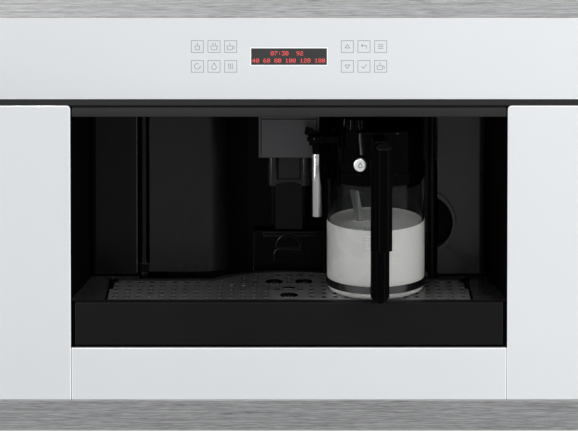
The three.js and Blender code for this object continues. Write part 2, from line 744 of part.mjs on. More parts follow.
// ---------------------------------------------------------------- coffee spout
function addSpout() {
  const back = GUIDE_Y - 14;
  const hull = (grow) => [
    [-SPOUT_X + SPOUT_CHAMFER + grow, SPOUT_Y + grow],
    [SPOUT_X - SPOUT_CHAMFER - grow, SPOUT_Y + grow],
    [SPOUT_X - grow, SPOUT_Y + SPOUT_CHAMFER + grow],
    [SPOUT_X - grow, back],
    [-SPOUT_X + grow, back],
    [-SPOUT_X + grow, SPOUT_Y + SPOUT_CHAMFER + grow],
  ];
  const outer = pull("z", hull(0), SPOUT_BOTTOM, SPOUT_TOP);
  const inner = pull("z", hull(SPOUT_WALL), SPOUT_BOTTOM - 1, SPOUT_TOP - SPOUT_WALL);
  const pipeHole = rod("z", 0, COFFEE_PIPE_Y, COFFEE_PIPE_R + 1, SPOUT_TOP - 5, SPOUT_TOP + 1, 12);
  place("spout_cover", cut(outer, inner, pipeHole), darkPlate);

  // nozzles, the web between them, and the arm and shoe that ride on the guide column
  const innerX = SPOUT_X - SPOUT_WALL - GAP;
  const nozzle = (side) =>
    rod("z", side * NOZZLE_X, NOZZLE_Y, NOZZLE_R, NOZZLE_BOTTOM, SPOUT_BOTTOM + 12, 24);
  const archHalf = NOZZLE_X - NOZZLE_R + 1;
  const archR = (archHalf ** 2 + WEB_ARCH ** 2) / (2 * WEB_ARCH);
  const archDeg = THREE.MathUtils.radToDeg(Math.asin(archHalf / archR));
  const webOutline = (top) => [
    [-NOZZLE_X, top],
    [-NOZZLE_X, WEB_BOTTOM],
    ...arc(0, WEB_BOTTOM + WEB_ARCH - archR, archR, 90 + archDeg, 90 - archDeg, 8),
    [NOZZLE_X, WEB_BOTTOM],
    [NOZZLE_X, top],
  ];
  const web = join(
    pull("y", webOutline(SPOUT_BOTTOM + 2), NOZZLE_Y - 2, NOZZLE_Y + 4),
    pull("y", webOutline(WEB_BOTTOM + WEB_LIP), NOZZLE_Y - 4.6, NOZZLE_Y + 4),
  );
  const shoeX = GUIDE_X + 3.8;
  const shoeZ = SPOUT_BOTTOM + 8.5;
  const wellTop = SPOUT_TOP - SPOUT_WALL - GAP;
  const shoe = cut(
    block(-shoeX, shoeX, back - 6, GUIDE_Y + 16, shoeZ, wellTop),
    block(-GUIDE_X - RUN, GUIDE_X + RUN, GUIDE_Y - RUN, GUIDE_Y + 20, shoeZ - 1, wellTop + 1),
  );
  const keys = [-1, 1].map((side) =>
    block(
      side > 0 ? GUIDE_X - 2.5 + RUN : -GUIDE_X - 1,
      side > 0 ? GUIDE_X + 1 : -GUIDE_X + 2.5 - RUN,
      GUIDE_Y + 6 + RUN,
      GUIDE_Y + 13 - RUN,
      shoeZ,
      wellTop,
    ),
  );
  const floorTop = SPOUT_BOTTOM + 14;
  const troughBottom = SPOUT_BOTTOM + 6;
  const floor = block(-innerX, innerX, SPOUT_Y + 6, back - 2, SPOUT_BOTTOM + 1.5, floorTop);
  const arm = block(-12, 12, back - 5, back - 1, SPOUT_BOTTOM + 10, shoeZ + 16);
  const well = rod("z", 0, COFFEE_PIPE_Y, COFFEE_PIPE_R + 3.4, floorTop - 1, wellTop, 16);
  // coffee runs from the pipe through the well into a trough that feeds both nozzles
  const troughX = NOZZLE_X + 6;
  const trough = block(-troughX, troughX, NOZZLE_Y - 5, COFFEE_PIPE_Y + 4, troughBottom, floorTop + 1);
  const bores = [-1, 1].map((side) =>
    rod("z", side * NOZZLE_X, NOZZLE_Y, NOZZLE_BORE, NOZZLE_BOTTOM - 1, SPOUT_BOTTOM + 20, 12),
  );
  const wellBore = rod("z", 0, COFFEE_PIPE_Y, COFFEE_PIPE_R + 1, troughBottom, wellTop + 1, 12);
  const wellFoot = block(-2, 2, COFFEE_PIPE_Y + 5, back - 3, floorTop - 2, wellTop - 8);
  const body = cut(
    join(cut(join(nozzle(-1), nozzle(1), floor), trough), web, arm, shoe, well, wellFoot, ...keys),
    wellBore,
    ...bores,
  );
  place("spout_carriage", body, blackSatin);
}

// ---------------------------------------------------------------- drip tray
const bulgeR = GROUNDS_Y0 - BULGE_SPACE - BULGE_Y;
const bulgeDeg = (radius, y) => THREE.MathUtils.radToDeg(Math.asin((y - BULGE_Y) / radius));

// Outline of the tray's plan, drawn in from the liner by a margin and from its own edges by an inset.
function trayPlan(front, inset) {
  const slope = (cheekFrontX - cheekBackX) / (PANEL_Y - linerFront);
  const sideX = (y) => cheekFrontX - Math.max(0, y - linerFront) * slope - TRAY_MARGIN - inset;
  const back = TRAY_BACK - inset;
  const wingBack = WING_BACK - inset;
  const radius = bulgeR - inset;
  const half = [
    [sideX(front), front],
    [sideX(linerFront), linerFront],
    [sideX(wingBack), wingBack],
    [WING_X + inset, wingBack],
    [WING_X + inset, back],
    ...arc(0, BULGE_Y, radius, bulgeDeg(radius, back), 90, 12),
  ];
  return [...half, ...mirrored(half).slice(1)];
}

// Half width of the grid at a depth: its ends lean inwards towards the back, as its columns of holes do.
const gridHalf = (y) => GRID_X * (1 - GRID_FAN * (y - GRID_FRONT));

// Outline of the grid, grown all round, with its ends cut back behind NOTCH_Y.
function gridPlan(grow, notch) {
  const slide = Math.min(grow, RUN);
  const c = GRID_CORNER;
  const front = GRID_FRONT - slide;
  const back = GRID_BACK + slide;
  const radius = bulgeR - GRID_RIM + slide;
  const endX = (y) => gridHalf(y) + grow;
  const step = [
    [endX(NOTCH_Y), NOTCH_Y],
    [endX(NOTCH_Y) - notch, NOTCH_Y],
  ];
  const half = [
    [endX(front), front],
    ...(notch > 0 ? step : []),
    ...arc(endX(back) - notch - c, back - c, c, 0, 90, 4),
    ...arc(0, BULGE_Y, radius, bulgeDeg(radius, back), 90, 12),
  ];
  return [...half, ...mirrored(half).slice(1)];
}

const trayFrontY = FASCIA_LIP + GAP;
const trayHoldY = GROUNDS_Y1 + 1; // the tray's tongue under the grounds container ends here
const deckBottom = TRAY_TOP - TRAY_DECK;

// The open basin, and the black front with the deck that frames the cup grid in one moulding.
function addDripTray() {
  const basinFront = FASCIA_Y + FASCIA_T + GAP;
  const basinTop = deckBottom - GAP;
  const tongueX = GROUNDS_X;
  const body = join(
    pull("z", trayPlan(basinFront, 0), TRAY_FLOOR, basinTop),
    block(-tongueX, tongueX, BULGE_Y + bulgeR - 6, trayHoldY, TRAY_FLOOR, TRAY_FLOOR + TRAY_WALL),
  );
  const inside = pull("z", trayPlan(basinFront + TRAY_WALL, TRAY_WALL), TRAY_FLOOR + TRAY_WALL, basinTop + 1);
  place("drip_tray", cut(body, inside), blackGloss);

  const lipR = 1.6;
  const grooveFloor = TRAY_TOP - 1.2; // a fine groove parts the front's lip from the deck
  const profile = [
    [FASCIA_Y, FASCIA_BOTTOM],
    [FASCIA_Y + FASCIA_T, FASCIA_BOTTOM],
    [FASCIA_Y + FASCIA_T, deckBottom],
    [trayFrontY + 1, deckBottom],
    [trayFrontY + 1, grooveFloor],
    [FASCIA_LIP, grooveFloor],
    [FASCIA_LIP, FASCIA_TOP],
    ...arc(FASCIA_Y + lipR, FASCIA_TOP - lipR, lipR, 90, 180, 3),
  ];
  const deck = pull("z", trayPlan(trayFrontY, 0), deckBottom, TRAY_TOP);
  // the mouth keeps a ledge for the grid all round, and a finger pocket behind each rear corner of the grid
  const ledgeTop = TRAY_TOP - GRID_T - GAP;
  const mouth = pull("z", gridPlan(GRID_FINGER, 0), ledgeTop, TRAY_TOP + 1);
  const pocketX = gridHalf(GRID_BACK) + GRID_FINGER;
  const corner = GRID_CORNER;
  const pocket = [
    [pocketX - POCKET_X, GRID_BACK - GRID_CORNER],
    [pocketX, GRID_BACK - GRID_CORNER],
    ...arc(pocketX - corner, POCKET_BACK - corner, corner, 0, 90, 4),
    [pocketX - POCKET_X, POCKET_BACK],
  ];
  const throughX = GRID_X - GRID_END_LEDGE;
  const throughFront = GRID_FRONT + GRID_LEDGE;
  const [low, high] = [deckBottom - 2, TRAY_TOP + 1];
  const through = overlapOf(
    pull("z", gridPlan(0, 0), low, high),
    join(
      block(-throughX, throughX, throughFront, GRID_BACK - GRID_LEDGE, low, high),
      rod("z", 0, BULGE_Y, bulgeR - GRID_RIM - GRID_LEDGE, low, high, 64),
    ),
    block(-GRID_X, GRID_X, throughFront, GROUNDS_Y0, low, high),
  );
  const frame = cut(
    deck,
    mouth,
    pull("z", pocket, ledgeTop, TRAY_TOP + 1),
    pull("z", mirrored(pocket), ledgeTop, TRAY_TOP + 1),
    through,
  );
  place("tray_fascia", join(pull("x", profile, -FASCIA_X, FASCIA_X), frame), blackSatin);
}

function addCupGrid() {
  const z0 = TRAY_TOP - GRID_T;
  const z1 = TRAY_TOP;
  let plate = toSolid(pull("z", gridPlan(0, GRID_NOTCH), z0, z1));
  const drill = (tool) => {
    plate = plate.subtract(toSolid(tool));
  };
  DRAINS.forEach(([x, y]) => drill(rod("z", x, y, DRAIN_R, z0 - 1, z1 + 1, 20)));
  const slot = [
    ...arc(SLOT_HALF, SLOT_Y, SLOT_R, -90, 90, 6),
    ...arc(-SLOT_HALF, SLOT_Y, SLOT_R, 90, 270, 6),
  ];
  drill(pull("z", slot, z0 - 1, z1 + 1));
  const taken = (x, y) =>
    DRAINS.some(([a, b]) => Math.hypot(x - a, y - b) < DRAIN_R + HOLE_R + 3) ||
    Math.hypot(x, y - SLOT_Y) < SLOT_HALF + SLOT_R + HOLE_R + 5;
  const columns = Math.floor((GRID_X - 5) / HOLE_PITCH_X);
  const reach = bulgeR - GRID_RIM - HOLE_R - 3;
  for (let i = -columns; i <= columns; i++) {
    for (let row = 0; row < HOLE_ROWS; row++) {
      const y = HOLE_FIRST_Y + row * HOLE_PITCH_Y;
      const x = i * HOLE_PITCH_X * (1 - GRID_FAN * (y - GRID_FRONT));
      const inBar = y < GRID_BACK - HOLE_R - 2;
      const inBulge = Math.abs(i) <= BULGE_COLUMNS && Math.hypot(x, y - BULGE_Y) < reach;
      if ((inBar || inBulge) && !taken(x, y)) drill(rod("z", x, y, HOLE_R, z0 - 1, z1 + 1, 6));
    }
  }
  place("cup_grid", toGeometry(plate), gridSteel);
}

// The container for spent coffee: an open box with a moulded front that shows under the spout.
function addGroundsContainer() {
  const floor = TRAY_FLOOR + TRAY_WALL + GAP;
  const w = GROUNDS_WALL;
  const box = cut(
    block(-GROUNDS_X, GROUNDS_X, GROUNDS_Y0 + 4, GROUNDS_Y1, floor, GROUNDS_TOP),
    block(-GROUNDS_X + w, GROUNDS_X - w, GROUNDS_Y0 + 4 + w, GROUNDS_Y1 - w, floor + w, GROUNDS_TOP + 1),
  );
  const ridges = [2.6, 5.8].map((drop) =>
    block(-26, 26, GROUNDS_Y0 + 2.4, GROUNDS_Y0 + 5, GROUNDS_TOP - drop, GROUNDS_TOP - drop + 1.4),
  );
  const arch = cut(
    rod("y", 0, 158, 13.5, GROUNDS_Y0 + 1.4, GROUNDS_Y0 + 5, 24),
    rod("y", 0, 158, 11, GROUNDS_Y0 + 1, GROUNDS_Y0 + 4.2, 24),
    block(-20, 20, GROUNDS_Y0, GROUNDS_Y0 + 6, 140, 157),
  );
  const tab = pull(
    "y",
    [
      [-15.5, 143],
      [15.5, 143],
      ...arc(15.5 - 6, 156 - 6, 6, 0, 90, 4),
      ...arc(-15.5 + 6, 156 - 6, 6, 90, 180, 4),
    ],
    GROUNDS_Y0,
    GROUNDS_Y0 + 5,
  );
  place("grounds_container", join(box, ...ridges, arch, tab), blackGloss);
}

// ---------------------------------------------------------------- water tank
function addWaterTank() {
  const z0 = shelfZ + GAP;
  const x0 = TANK_X0 + 3.2;
  const w = TANK_WALL;
  const shell = cut(
    block(x0, TANK_X1, TANK_BODY_Y0, TANK_BODY_Y1, z0, TANK_TOP),
    block(x0 + w, TANK_X1 - w, TANK_BODY_Y0 + w, TANK_BODY_Y1 - w, z0 + w, TANK_TOP + 1),
  );
  const outletEnd = SHELF_BACK - SHELF_T - RUN;
  const outlet = rod("y", TANK_OUTLET_X, TANK_OUTLET_Z, 8, TANK_BODY_Y1 - 1, outletEnd, 16);
  const bore = rod("y", TANK_OUTLET_X, TANK_OUTLET_Z, VALVE_R + RUN, TANK_BODY_Y1 - 4, outletEnd + 1, 16);
  const ribs = [z0 + 20, TANK_TOP - 24].map((z) =>
    block(x0, TANK_X1, PANEL_Y + PANEL_T + 4.2, TANK_BODY_Y0 + 1, z, z + 2.5),
  );
  place("water_tank", cut(join(shell, outlet, ...ribs), bore), clearPlastic);

  const inset = w + RUN;
  const [lipY0, lipY1] = [TANK_BODY_Y0 + inset, TANK_BODY_Y1 - inset];
  const lid = join(
    block(x0 - 0.6, TANK_X1 + 0.6, TANK_BODY_Y0 - 1, TANK_BODY_Y1 + 0.6, TANK_TOP + GAP, TANK_TOP + 3),
    block(x0 + inset, TANK_X1 - inset, lipY0, lipY1, TANK_TOP - 4, TANK_TOP + 1),
  );
  const filler = block(x0 + 10, TANK_X1 - 10, 150, 200, TANK_TOP - 10, TANK_TOP + 10);
  place("tank_lid", cut(lid, filler), greyPlastic);

  // front panel with the half-round finger cut-out and its raised crescent rim
  const r = 6;
  const back = PANEL_Y + PANEL_T + 4;
  const plan = [
    [TANK_X0, PANEL_Y],
    ...arc(TANK_X1 - r, PANEL_Y + r, r, -90, 0, 5),
    [TANK_X1, back],
    [TANK_X0 + 3, back],
    [TANK_X0, back],
  ];
  const panel = pull("z", plan, PANEL_BOTTOM, TANK_FRONT_TOP);
  const rimTop = TANK_FRONT_TOP - 3.5;
  const hollow = block(TANK_X0 + 3, TANK_X1 - 3, PANEL_Y + PANEL_T, back + 1, PANEL_BOTTOM + 3, rimTop);
  const rim = overlapOf(
    rod("y", HANDLE_X, HANDLE_Z, HANDLE_R, PANEL_Y - HANDLE_PROUD, PANEL_Y + PANEL_T, 48),
    block(TANK_X0, TANK_X1, 90, 110, 120, 260),
  );
  const bite = rod("y", HANDLE_INNER_X, HANDLE_Z, HANDLE_INNER_R, 90, back + 2, 48);
  place("tank_front", cut(join(cut(panel, hollow), rim), bite), blackPanel);
}

// ---------------------------------------------------------------- milk jug
function addMilkJug() {
  const jug = groupAt(JUG_X, JUG_Y, 0);
  const r = JUG_R;
  const inner = r - JUG_WALL;
  const glass = [
    [0, JUG_BASE + 1.4],
    [30, JUG_BASE + 1.4],
    [33, JUG_BASE],
    [r - 8, JUG_BASE],
    [r - 3, JUG_BASE + 1.8],
    [r - 0.4, JUG_BASE + 6],
    [r, JUG_BASE + 10],
    [r, GLASS_TOP],
    [inner, GLASS_TOP],
    [inner, JUG_BASE + 10],
    [inner - 2.5, JUG_BASE + 6],
    [inner - 7, JUG_BASE + 4.6],
    [0, JUG_BASE + 4.6],
  ];
  place("jug_glass", turn(glass, 40), clearGlass, jug);

  const bandIn = r + GAP;
  const band = [
    [bandIn, BAND_Z0],
    [bandIn + BAND_T, BAND_Z0],
    [bandIn + BAND_T, BAND_Z1],
    [bandIn, BAND_Z1],
    [bandIn, BAND_Z0],
  ];
  place("jug_base_band", turn(band, 40), darkBand, jug);

  // handle: a collar round the glass, an arm that rises to the grip, and a spine down to the base band
  const handle = groupAt(0, 0, 0, jug);
  handle.rotation.z = THREE.MathUtils.degToRad(HANDLE_TURN);
  const collar = turn(
    [
      [r + GAP, COLLAR_Z0],
      [r + GAP + COLLAR_T, COLLAR_Z0 + 1],
      [r + GAP + COLLAR_T, COLLAR_Z1],
      [r + GAP, COLLAR_Z1],
      [r + GAP, COLLAR_Z0],
    ],
    48,
  );
  const spineOut = GRIP_OUT - 2;
  const spineIn = GRIP_OUT - GRIP_DEPTH;
  const footIn = r + BAND_T + 2 * GAP;
  const sideView = [
    [-(r + 0.8), COLLAR_Z1 - 9],
    [-(r + 0.8), ARM_TOP - 1.5],
    [-(r + 2.3), ARM_TOP],
    [-(spineIn - 2), ARM_TOP],
    [-(spineIn + 6), ARM_TOP - 2.5],
    [-spineOut, GRIP_FACE_TOP],
    [-spineOut, SPINE_BOTTOM + 5],
    [-(spineOut - 8), SPINE_BOTTOM],
    [-footIn, BAND_Z0 - 1],
    [-footIn, BAND_Z1 + 1],
    [-(spineIn - 6), BAND_Z1 + 6],
    [-spineIn, BAND_Z1 + 14],
    [-spineIn, FINGER_TOP],
    [-(spineIn - 4), FINGER_TOP - 8],
    [-(r + 6), COLLAR_Z1 - 4],
    [-(r + COLLAR_T + 1.4), COLLAR_Z1 - 9],
  ];
  const w = SPINE_W / 2;
  // the spine's front is a shallow ridge
  const plan = [
    [-w, -(r + 0.5)],
    [-w, -(spineOut - 4)],
    [-w * 0.45, -spineOut],
    [w * 0.45, -spineOut],
    [w, -(spineOut - 4)],
    [w, -(r + 0.5)],
  ];
  // seen from the front, the spine ends in a point at the bottom and in a round arch at the top
  const frontView = [
    [0, SPINE_BOTTOM],
    [w, SPINE_BOTTOM + SPINE_POINT],
    ...arc(0, ARM_TOP - w, w, 0, 180, 12),
    [-w, SPINE_BOTTOM + SPINE_POINT],
  ];
  const ridged = overlapOf(
    pull("x", sideView, -w, w),
    pull("z", plan, SPINE_BOTTOM - 1, ARM_TOP + 1),
    pull("y", frontView, -(GRIP_OUT + 2), -r),
  );
  const insetBack = -(spineOut - 7);
  const gripBack = insetBack - GAP;
  const inset = block(-30, 30, -(GRIP_OUT + 2), insetBack, GRIP_Z0 - 0.4, ARM_TOP + 2);
  const glassClear = rod("z", 0, 0, r + GAP, JUG_BASE - 10, COLLAR_Z1, 48);
  place("jug_handle", cut(join(cut(ridged, inset), collar), glassClear), blackGloss, handle);

  // grip shell on the front of the spine: it has a round arch at the top too, and slopes back there
  const gw = GRIP_W / 2;
  const s = GRIP_SHIFT;
  const gripPlan = [
    [s - gw, gripBack],
    [s - gw, -(GRIP_OUT - 3)],
    [s - gw * 0.5, -GRIP_OUT],
    [s + gw * 0.5, -GRIP_OUT],
    [s + gw, -(GRIP_OUT - 3)],
    [s + gw, gripBack],
  ];
  const gripSide = [
    [gripBack + 1, GRIP_Z0 + 1],
    [-(GRIP_OUT + 1), GRIP_Z0 - 2],
    [-(GRIP_OUT + 1), GRIP_FACE_TOP - 0.6],
    [-GRIP_OUT, GRIP_FACE_TOP],
    [-(GRIP_OUT - GRIP_SLOPE), GRIP_TOP],
    [gripBack + 1, GRIP_TOP],
  ];
  const gripFrontView = [
    [s - gw, GRIP_Z0 - 3],
    [s + gw, GRIP_Z0 - 3],
    ...arc(s, GRIP_TOP - gw, gw, 0, 180, 12),
  ];
  const grip = overlapOf(
    pull("z", gripPlan, GRIP_Z0, GRIP_TOP),
    pull("x", gripSide, -30, 30),
    pull("y", gripFrontView, -(GRIP_OUT + 2), gripBack + 2),
  );
  place("jug_grip", grip, blackGloss, handle);

  addJugLid(jug);
}

function addJugLid(jug) {
  const r = JUG_R;
  const shell = turn(
    [
      [PLUG_R - 2.2, PLUG_BOTTOM],
      [PLUG_R, PLUG_BOTTOM],
      [PLUG_R, GLASS_TOP + GAP],
      [r - 1, GLASS_TOP + GAP],
      [r - 1, LID_Z0],
      [r, LID_Z0],
      ...arc(r - LID_EDGE, LID_TOP - LID_EDGE, LID_EDGE, 0, 90, 4),
      [0, LID_TOP],
      [0, LID_TOP - LID_WALL],
      [r - LID_WALL - 2, LID_TOP - LID_WALL],
      [r - LID_WALL - 2, GLASS_TOP + 2],
      [PLUG_R - 2.2, GLASS_TOP],
      [PLUG_R - 2.2, PLUG_BOTTOM],
    ],
    56,
  );
  // housing of the dial, collar of the button, neck of the milk spout and socket for the steam nozzle
  const housing = rod("z", DIAL_X, DIAL_Y, DIAL_R, BOSS_BOTTOM, LID_TOP, 32);
  const collar = rod("y", BUTTON_X, BUTTON_Z, COLLAR_R, BUTTON_FACE_Y + 2.6, -38, 32);
  const neckEnd = SWIVEL_X + SWIVEL_R + 2 * GAP;
  const neck = rod("x", SWIVEL_Y, SWIVEL_Z, 5.6, neckEnd, -38, 20);
  const socketEnd = JUG_WALL_Y - JUG_Y - RUN;
  const socket = rod("y", 0, STEAM_Z, STEAM_SOCKET_R, 44, socketEnd, 20);
  const spike = rod("x", SWIVEL_Y, SWIVEL_Z, SPIKE_R, SWIVEL_X - SWIVEL_R - 2, neckEnd + 2, 12);
  const tubeSleeve = rod("z", INTAKE_X, 0, INTAKE_R + 3.8, PLUG_BOTTOM + 2, LID_TOP - 1, 20);
  const wellBack = BUTTON_FACE_Y + BUTTON_DEPTH + BUTTON_TRAVEL + GAP;
  const body = cut(
    join(shell, housing, collar, neck, socket, spike, tubeSleeve),
    rod("z", DIAL_X, DIAL_Y, 4.4, LID_TOP - 9, LID_TOP + 1, 16),
    rod("y", BUTTON_X, BUTTON_Z, BUTTON_R + 0.5, BUTTON_FACE_Y - 1, wellBack, 32),
    rod("y", 0, STEAM_Z, STEAM_PIN_R + RUN, 48, socketEnd + 1, 16),
    rod("z", INTAKE_X, 0, INTAKE_R + 0.8, PLUG_BOTTOM - 1, PLUG_BOTTOM + 24, 16),
  );
  place("jug_lid", body, blackGloss, jug);

  const dial = groupAt(DIAL_X, DIAL_Y, 0, jug);
  const flutes = 12;
  let knob = toSolid(rod("z", 0, 0, DIAL_R, LID_TOP + GAP, DIAL_TOP, 32, DIAL_R - 0.8));
  for (let i = 0; i < flutes; i++) {
    const a = (2 * Math.PI * i) / flutes;
    const reach = DIAL_R + 1.6;
    const x = reach * Math.cos(a);
    const y = reach * Math.sin(a);
    knob = knob.subtract(toSolid(rod("z", x, y, 2.2, LID_TOP + 3, DIAL_TOP + 1, 8)));
  }
  const stem = rod("z", 0, 0, 4, LID_TOP - 8, LID_TOP + 2, 16);
  place("froth_dial", join(toGeometry(knob), stem), blackGloss, dial);

  const button = turn(
    [
      [0, 0],
      [BUTTON_R, 0],
      [BUTTON_R, BUTTON_DEPTH - 1.4],
      [BUTTON_R - 0.8, BUTTON_DEPTH - 0.6],
      [BUTTON_R - 2.6, BUTTON_DEPTH - 0.1],
      [0, BUTTON_DEPTH],
    ],
    32,
  );
  button.rotateX(Math.PI / 2);
  const buttonMesh = place("clean_button", button, silverButton, jug);
  buttonMesh.position.set(BUTTON_X, BUTTON_FACE_Y + BUTTON_DEPTH, BUTTON_Z);

  // clear pick-up tube, leaning from the lid's sleeve to the foot of the jug
  const tubeTop = new THREE.Vector3(INTAKE_X, 0, PLUG_BOTTOM + 22);
  const tubeKnee = new THREE.Vector3(INTAKE_X, 0, PLUG_BOTTOM - 1);
  const tubeFoot = new THREE.Vector3(-4, 4, JUG_BASE + 7);
  const straight = rod("z", tubeTop.x, tubeTop.y, INTAKE_R, tubeKnee.z - 2, tubeTop.z, 16);
  const lean = tubeFoot.clone().sub(tubeKnee);
  const slanted = new THREE.CylinderGeometry(INTAKE_R, INTAKE_R, lean.length(), 16);
  slanted.applyQuaternion(new THREE.Quaternion().setFromUnitVectors(AXIS.y, lean.clone().normalize()));
  const middle = tubeKnee.clone().add(tubeFoot).multiplyScalar(0.5);
  slanted.translate(middle.x, middle.y, middle.z);
  place("milk_intake_tube", join(straight, slanted), clearPlastic, jug);

  addMilkSpout(jug);
}

// The swivelling milk spout: a black knuckle with a small lever, and a chrome tube pushed into it.
function addMilkSpout(jug) {
  const spout = groupAt(SWIVEL_X, SWIVEL_Y, SWIVEL_Z, jug);
  const ball = new THREE.SphereGeometry(SWIVEL_R, 16, 8);
  const hub = rod("x", 0, 0, SWIVEL_R - 1, -SWIVEL_R, SWIVEL_R, 16);
  const neckBottom = MILK_TUBE_TOP - SWIVEL_Z;
  const neck = rod("z", 0, 0, 4, neckBottom + GAP, 0, 16, 5.4);
  const lever = pull(
    "y",
    [
      [-4, 1],
      [-12.5, 6.5],
      [-11, 12.5],
      [-5, 11],
      [2, 6],
    ],
    -3.2,
    3.2,
  );
  const eye = rod("x", 0, 0, SPIKE_R + GAP, -SWIVEL_R - 3, SWIVEL_R + 3, 10);
  place("milk_spout_knuckle", cut(join(ball, hub, neck, lever), eye), blackGloss, spout);

  const tube = turn(
    [
      [MILK_TUBE_R - 1.4, MILK_TUBE_BOTTOM - SWIVEL_Z],
      [MILK_TUBE_R, MILK_TUBE_BOTTOM - SWIVEL_Z],
      [MILK_TUBE_R, neckBottom - 0.8],
      [MILK_TUBE_R - 0.8, neckBottom],
      [MILK_TUBE_R - 1.4, neckBottom],
      [MILK_TUBE_R - 1.4, MILK_TUBE_BOTTOM - SWIVEL_Z],
    ],
    24,
  );
  place("milk_spout_tube", tube, chrome, spout);
}

// ---------------------------------------------------------------- casing
const caseX = CASE_W / 2;
const caseFront = FRAME_BACK + GAP;

function addCasing() {
  const z0 = CASE_LIFT;
  const t = SHEET;
  const flange = 18;
  const base = join(
    block(-caseX, caseX, caseFront, CASE_REAR, z0, z0 + t),
    block(-caseX + t + GAP, -caseX + 2 * t + GAP, caseFront, CASE_REAR - t - GAP, z0, z0 + flange),
    block(caseX - 2 * t - GAP, caseX - t - GAP, caseFront, CASE_REAR - t - GAP, z0, z0 + flange),
    block(-OPENING_X + 6, OPENING_X - 6, caseFront, caseFront + t, z0, LINER_FLOOR - LINER_T - GAP),
    block(-66, 66, 178, 180, z0, LINER_FLOOR - LINER_T - GAP), // rest for the liner's tongue
  );
  place("base_plate", base, zincSheet);

  const side = (s) => {
    const panel = block(caseX - t, caseX, caseFront, CASE_REAR - t - GAP, z0 + t + GAP, CASE_TOP - t - GAP);
    const lipTop = CASE_TOP - t - GAP;
    const lip = block(caseX - 14, caseX, caseFront, CASE_REAR - t - GAP, lipTop - t, lipTop);
    const both = join(panel, lip);
    return s > 0 ? both : toGeometry(toSolid(both.scale(-1, 1, 1)));
  };
  place("right_side_panel", side(1), zincSheet);
  place("left_side_panel", side(-1), zincSheet);

  const backY = CASE_REAR - t;
  const vents = [];
  const ventTop = CASE_TOP - 60;
  for (let i = 0; i < VENTS; i++) {
    const x = VENT_X0 + i * VENT_PITCH;
    vents.push(block(x, x + VENT_W, backY - 1, CASE_REAR + 1, ventTop - VENT_H, ventTop));
  }
  const back = cut(
    block(-caseX, caseX, backY, CASE_REAR, z0 + t + GAP, CASE_TOP - t - GAP),
    ...vents,
    block(MAINS_X0, MAINS_X1, backY - 1, CASE_REAR + 1, INLET_Z - MAINS_HALF, INLET_Z + MAINS_HALF),
  );
  place("back_panel", back, zincSheet);

  // top cover with openings for the hopper, the adjusting knob and the funnel for ground coffee
  const topZ = CASE_TOP;
  const cover = cut(
    block(-caseX, caseX, caseFront, CASE_REAR, topZ - t, topZ),
    block(HOPPER_X0 + 4, HOPPER_X1 - 4, HOPPER_Y0 + 4, HOPPER_Y1 - 4, topZ - 4, topZ + 1),
    rod("z", KNOB_X, KNOB_Y, 4 + GAP, topZ - 4, topZ + 1, 16),
    block(CHUTE_X0, CHUTE_X1, CHUTE_Y0, CHUTE_Y1, topZ - 4, topZ + 1),
  );
  place("top_cover", cover, zincSheet);
}

function addTopFittings() {
  const z = CASE_TOP + GAP;
  const lidY = HOPPER_Y1 + 4;
  const hinge = 3;
  const bean = groupAt(0, lidY, z + hinge);
  const lid = join(
    block(HOPPER_X0 - 4, HOPPER_X1 + 4, HOPPER_Y0 - 4 - lidY, -3.6, -hinge, -hinge + LID_T),
    rod("x", 0, 0, hinge - 0.2, HOPPER_X0 + 10, HOPPER_X1 - 10, 12),
    block(HOPPER_X0 + 10, HOPPER_X1 - 10, -4, 0, -hinge + 0.4, -hinge + LID_T),
  );
  const gripY = HOPPER_Y0 - 4 - lidY;
  const gripZ = LID_T - 1 - hinge;
  const fingerGrip = block(-150, -120, gripY, gripY + 6, gripZ, gripZ + 3);
  place("bean_lid", join(lid, fingerGrip), smokedPlastic, bean);

  const flapY = CHUTE_Y1 + 4;
  const powder = groupAt(0, flapY, z + 2.4);
  const flap = join(
    block(CHUTE_X0 - 4, CHUTE_X1 + 4, CHUTE_Y0 - 4 - flapY, -2.8, -2.4, 0.2),
    rod("x", 0, 0, 2.2, CHUTE_X0, CHUTE_X1, 12),
    block(CHUTE_X0, CHUTE_X1, -3.4, 0, -2, 0.2),
  );
  place("powder_flap", flap, blackSatin, powder);

  const knob = groupAt(KNOB_X, KNOB_Y, 0);
  const grip = join(
    rod("z", 0, 0, KNOB_R, z, z + 5, 24, KNOB_R - 1),
    rod("z", 0, 0, 4, BREW_TOP + MOTOR_TOP + 2 * GAP, z + 1, 12),
    block(-1.6, 1.6, -KNOB_R + 1.2, KNOB_R - 1.2, z + 4, z + 7.5),
  );
  place("grind_knob", grip, blackSatin, knob);
}

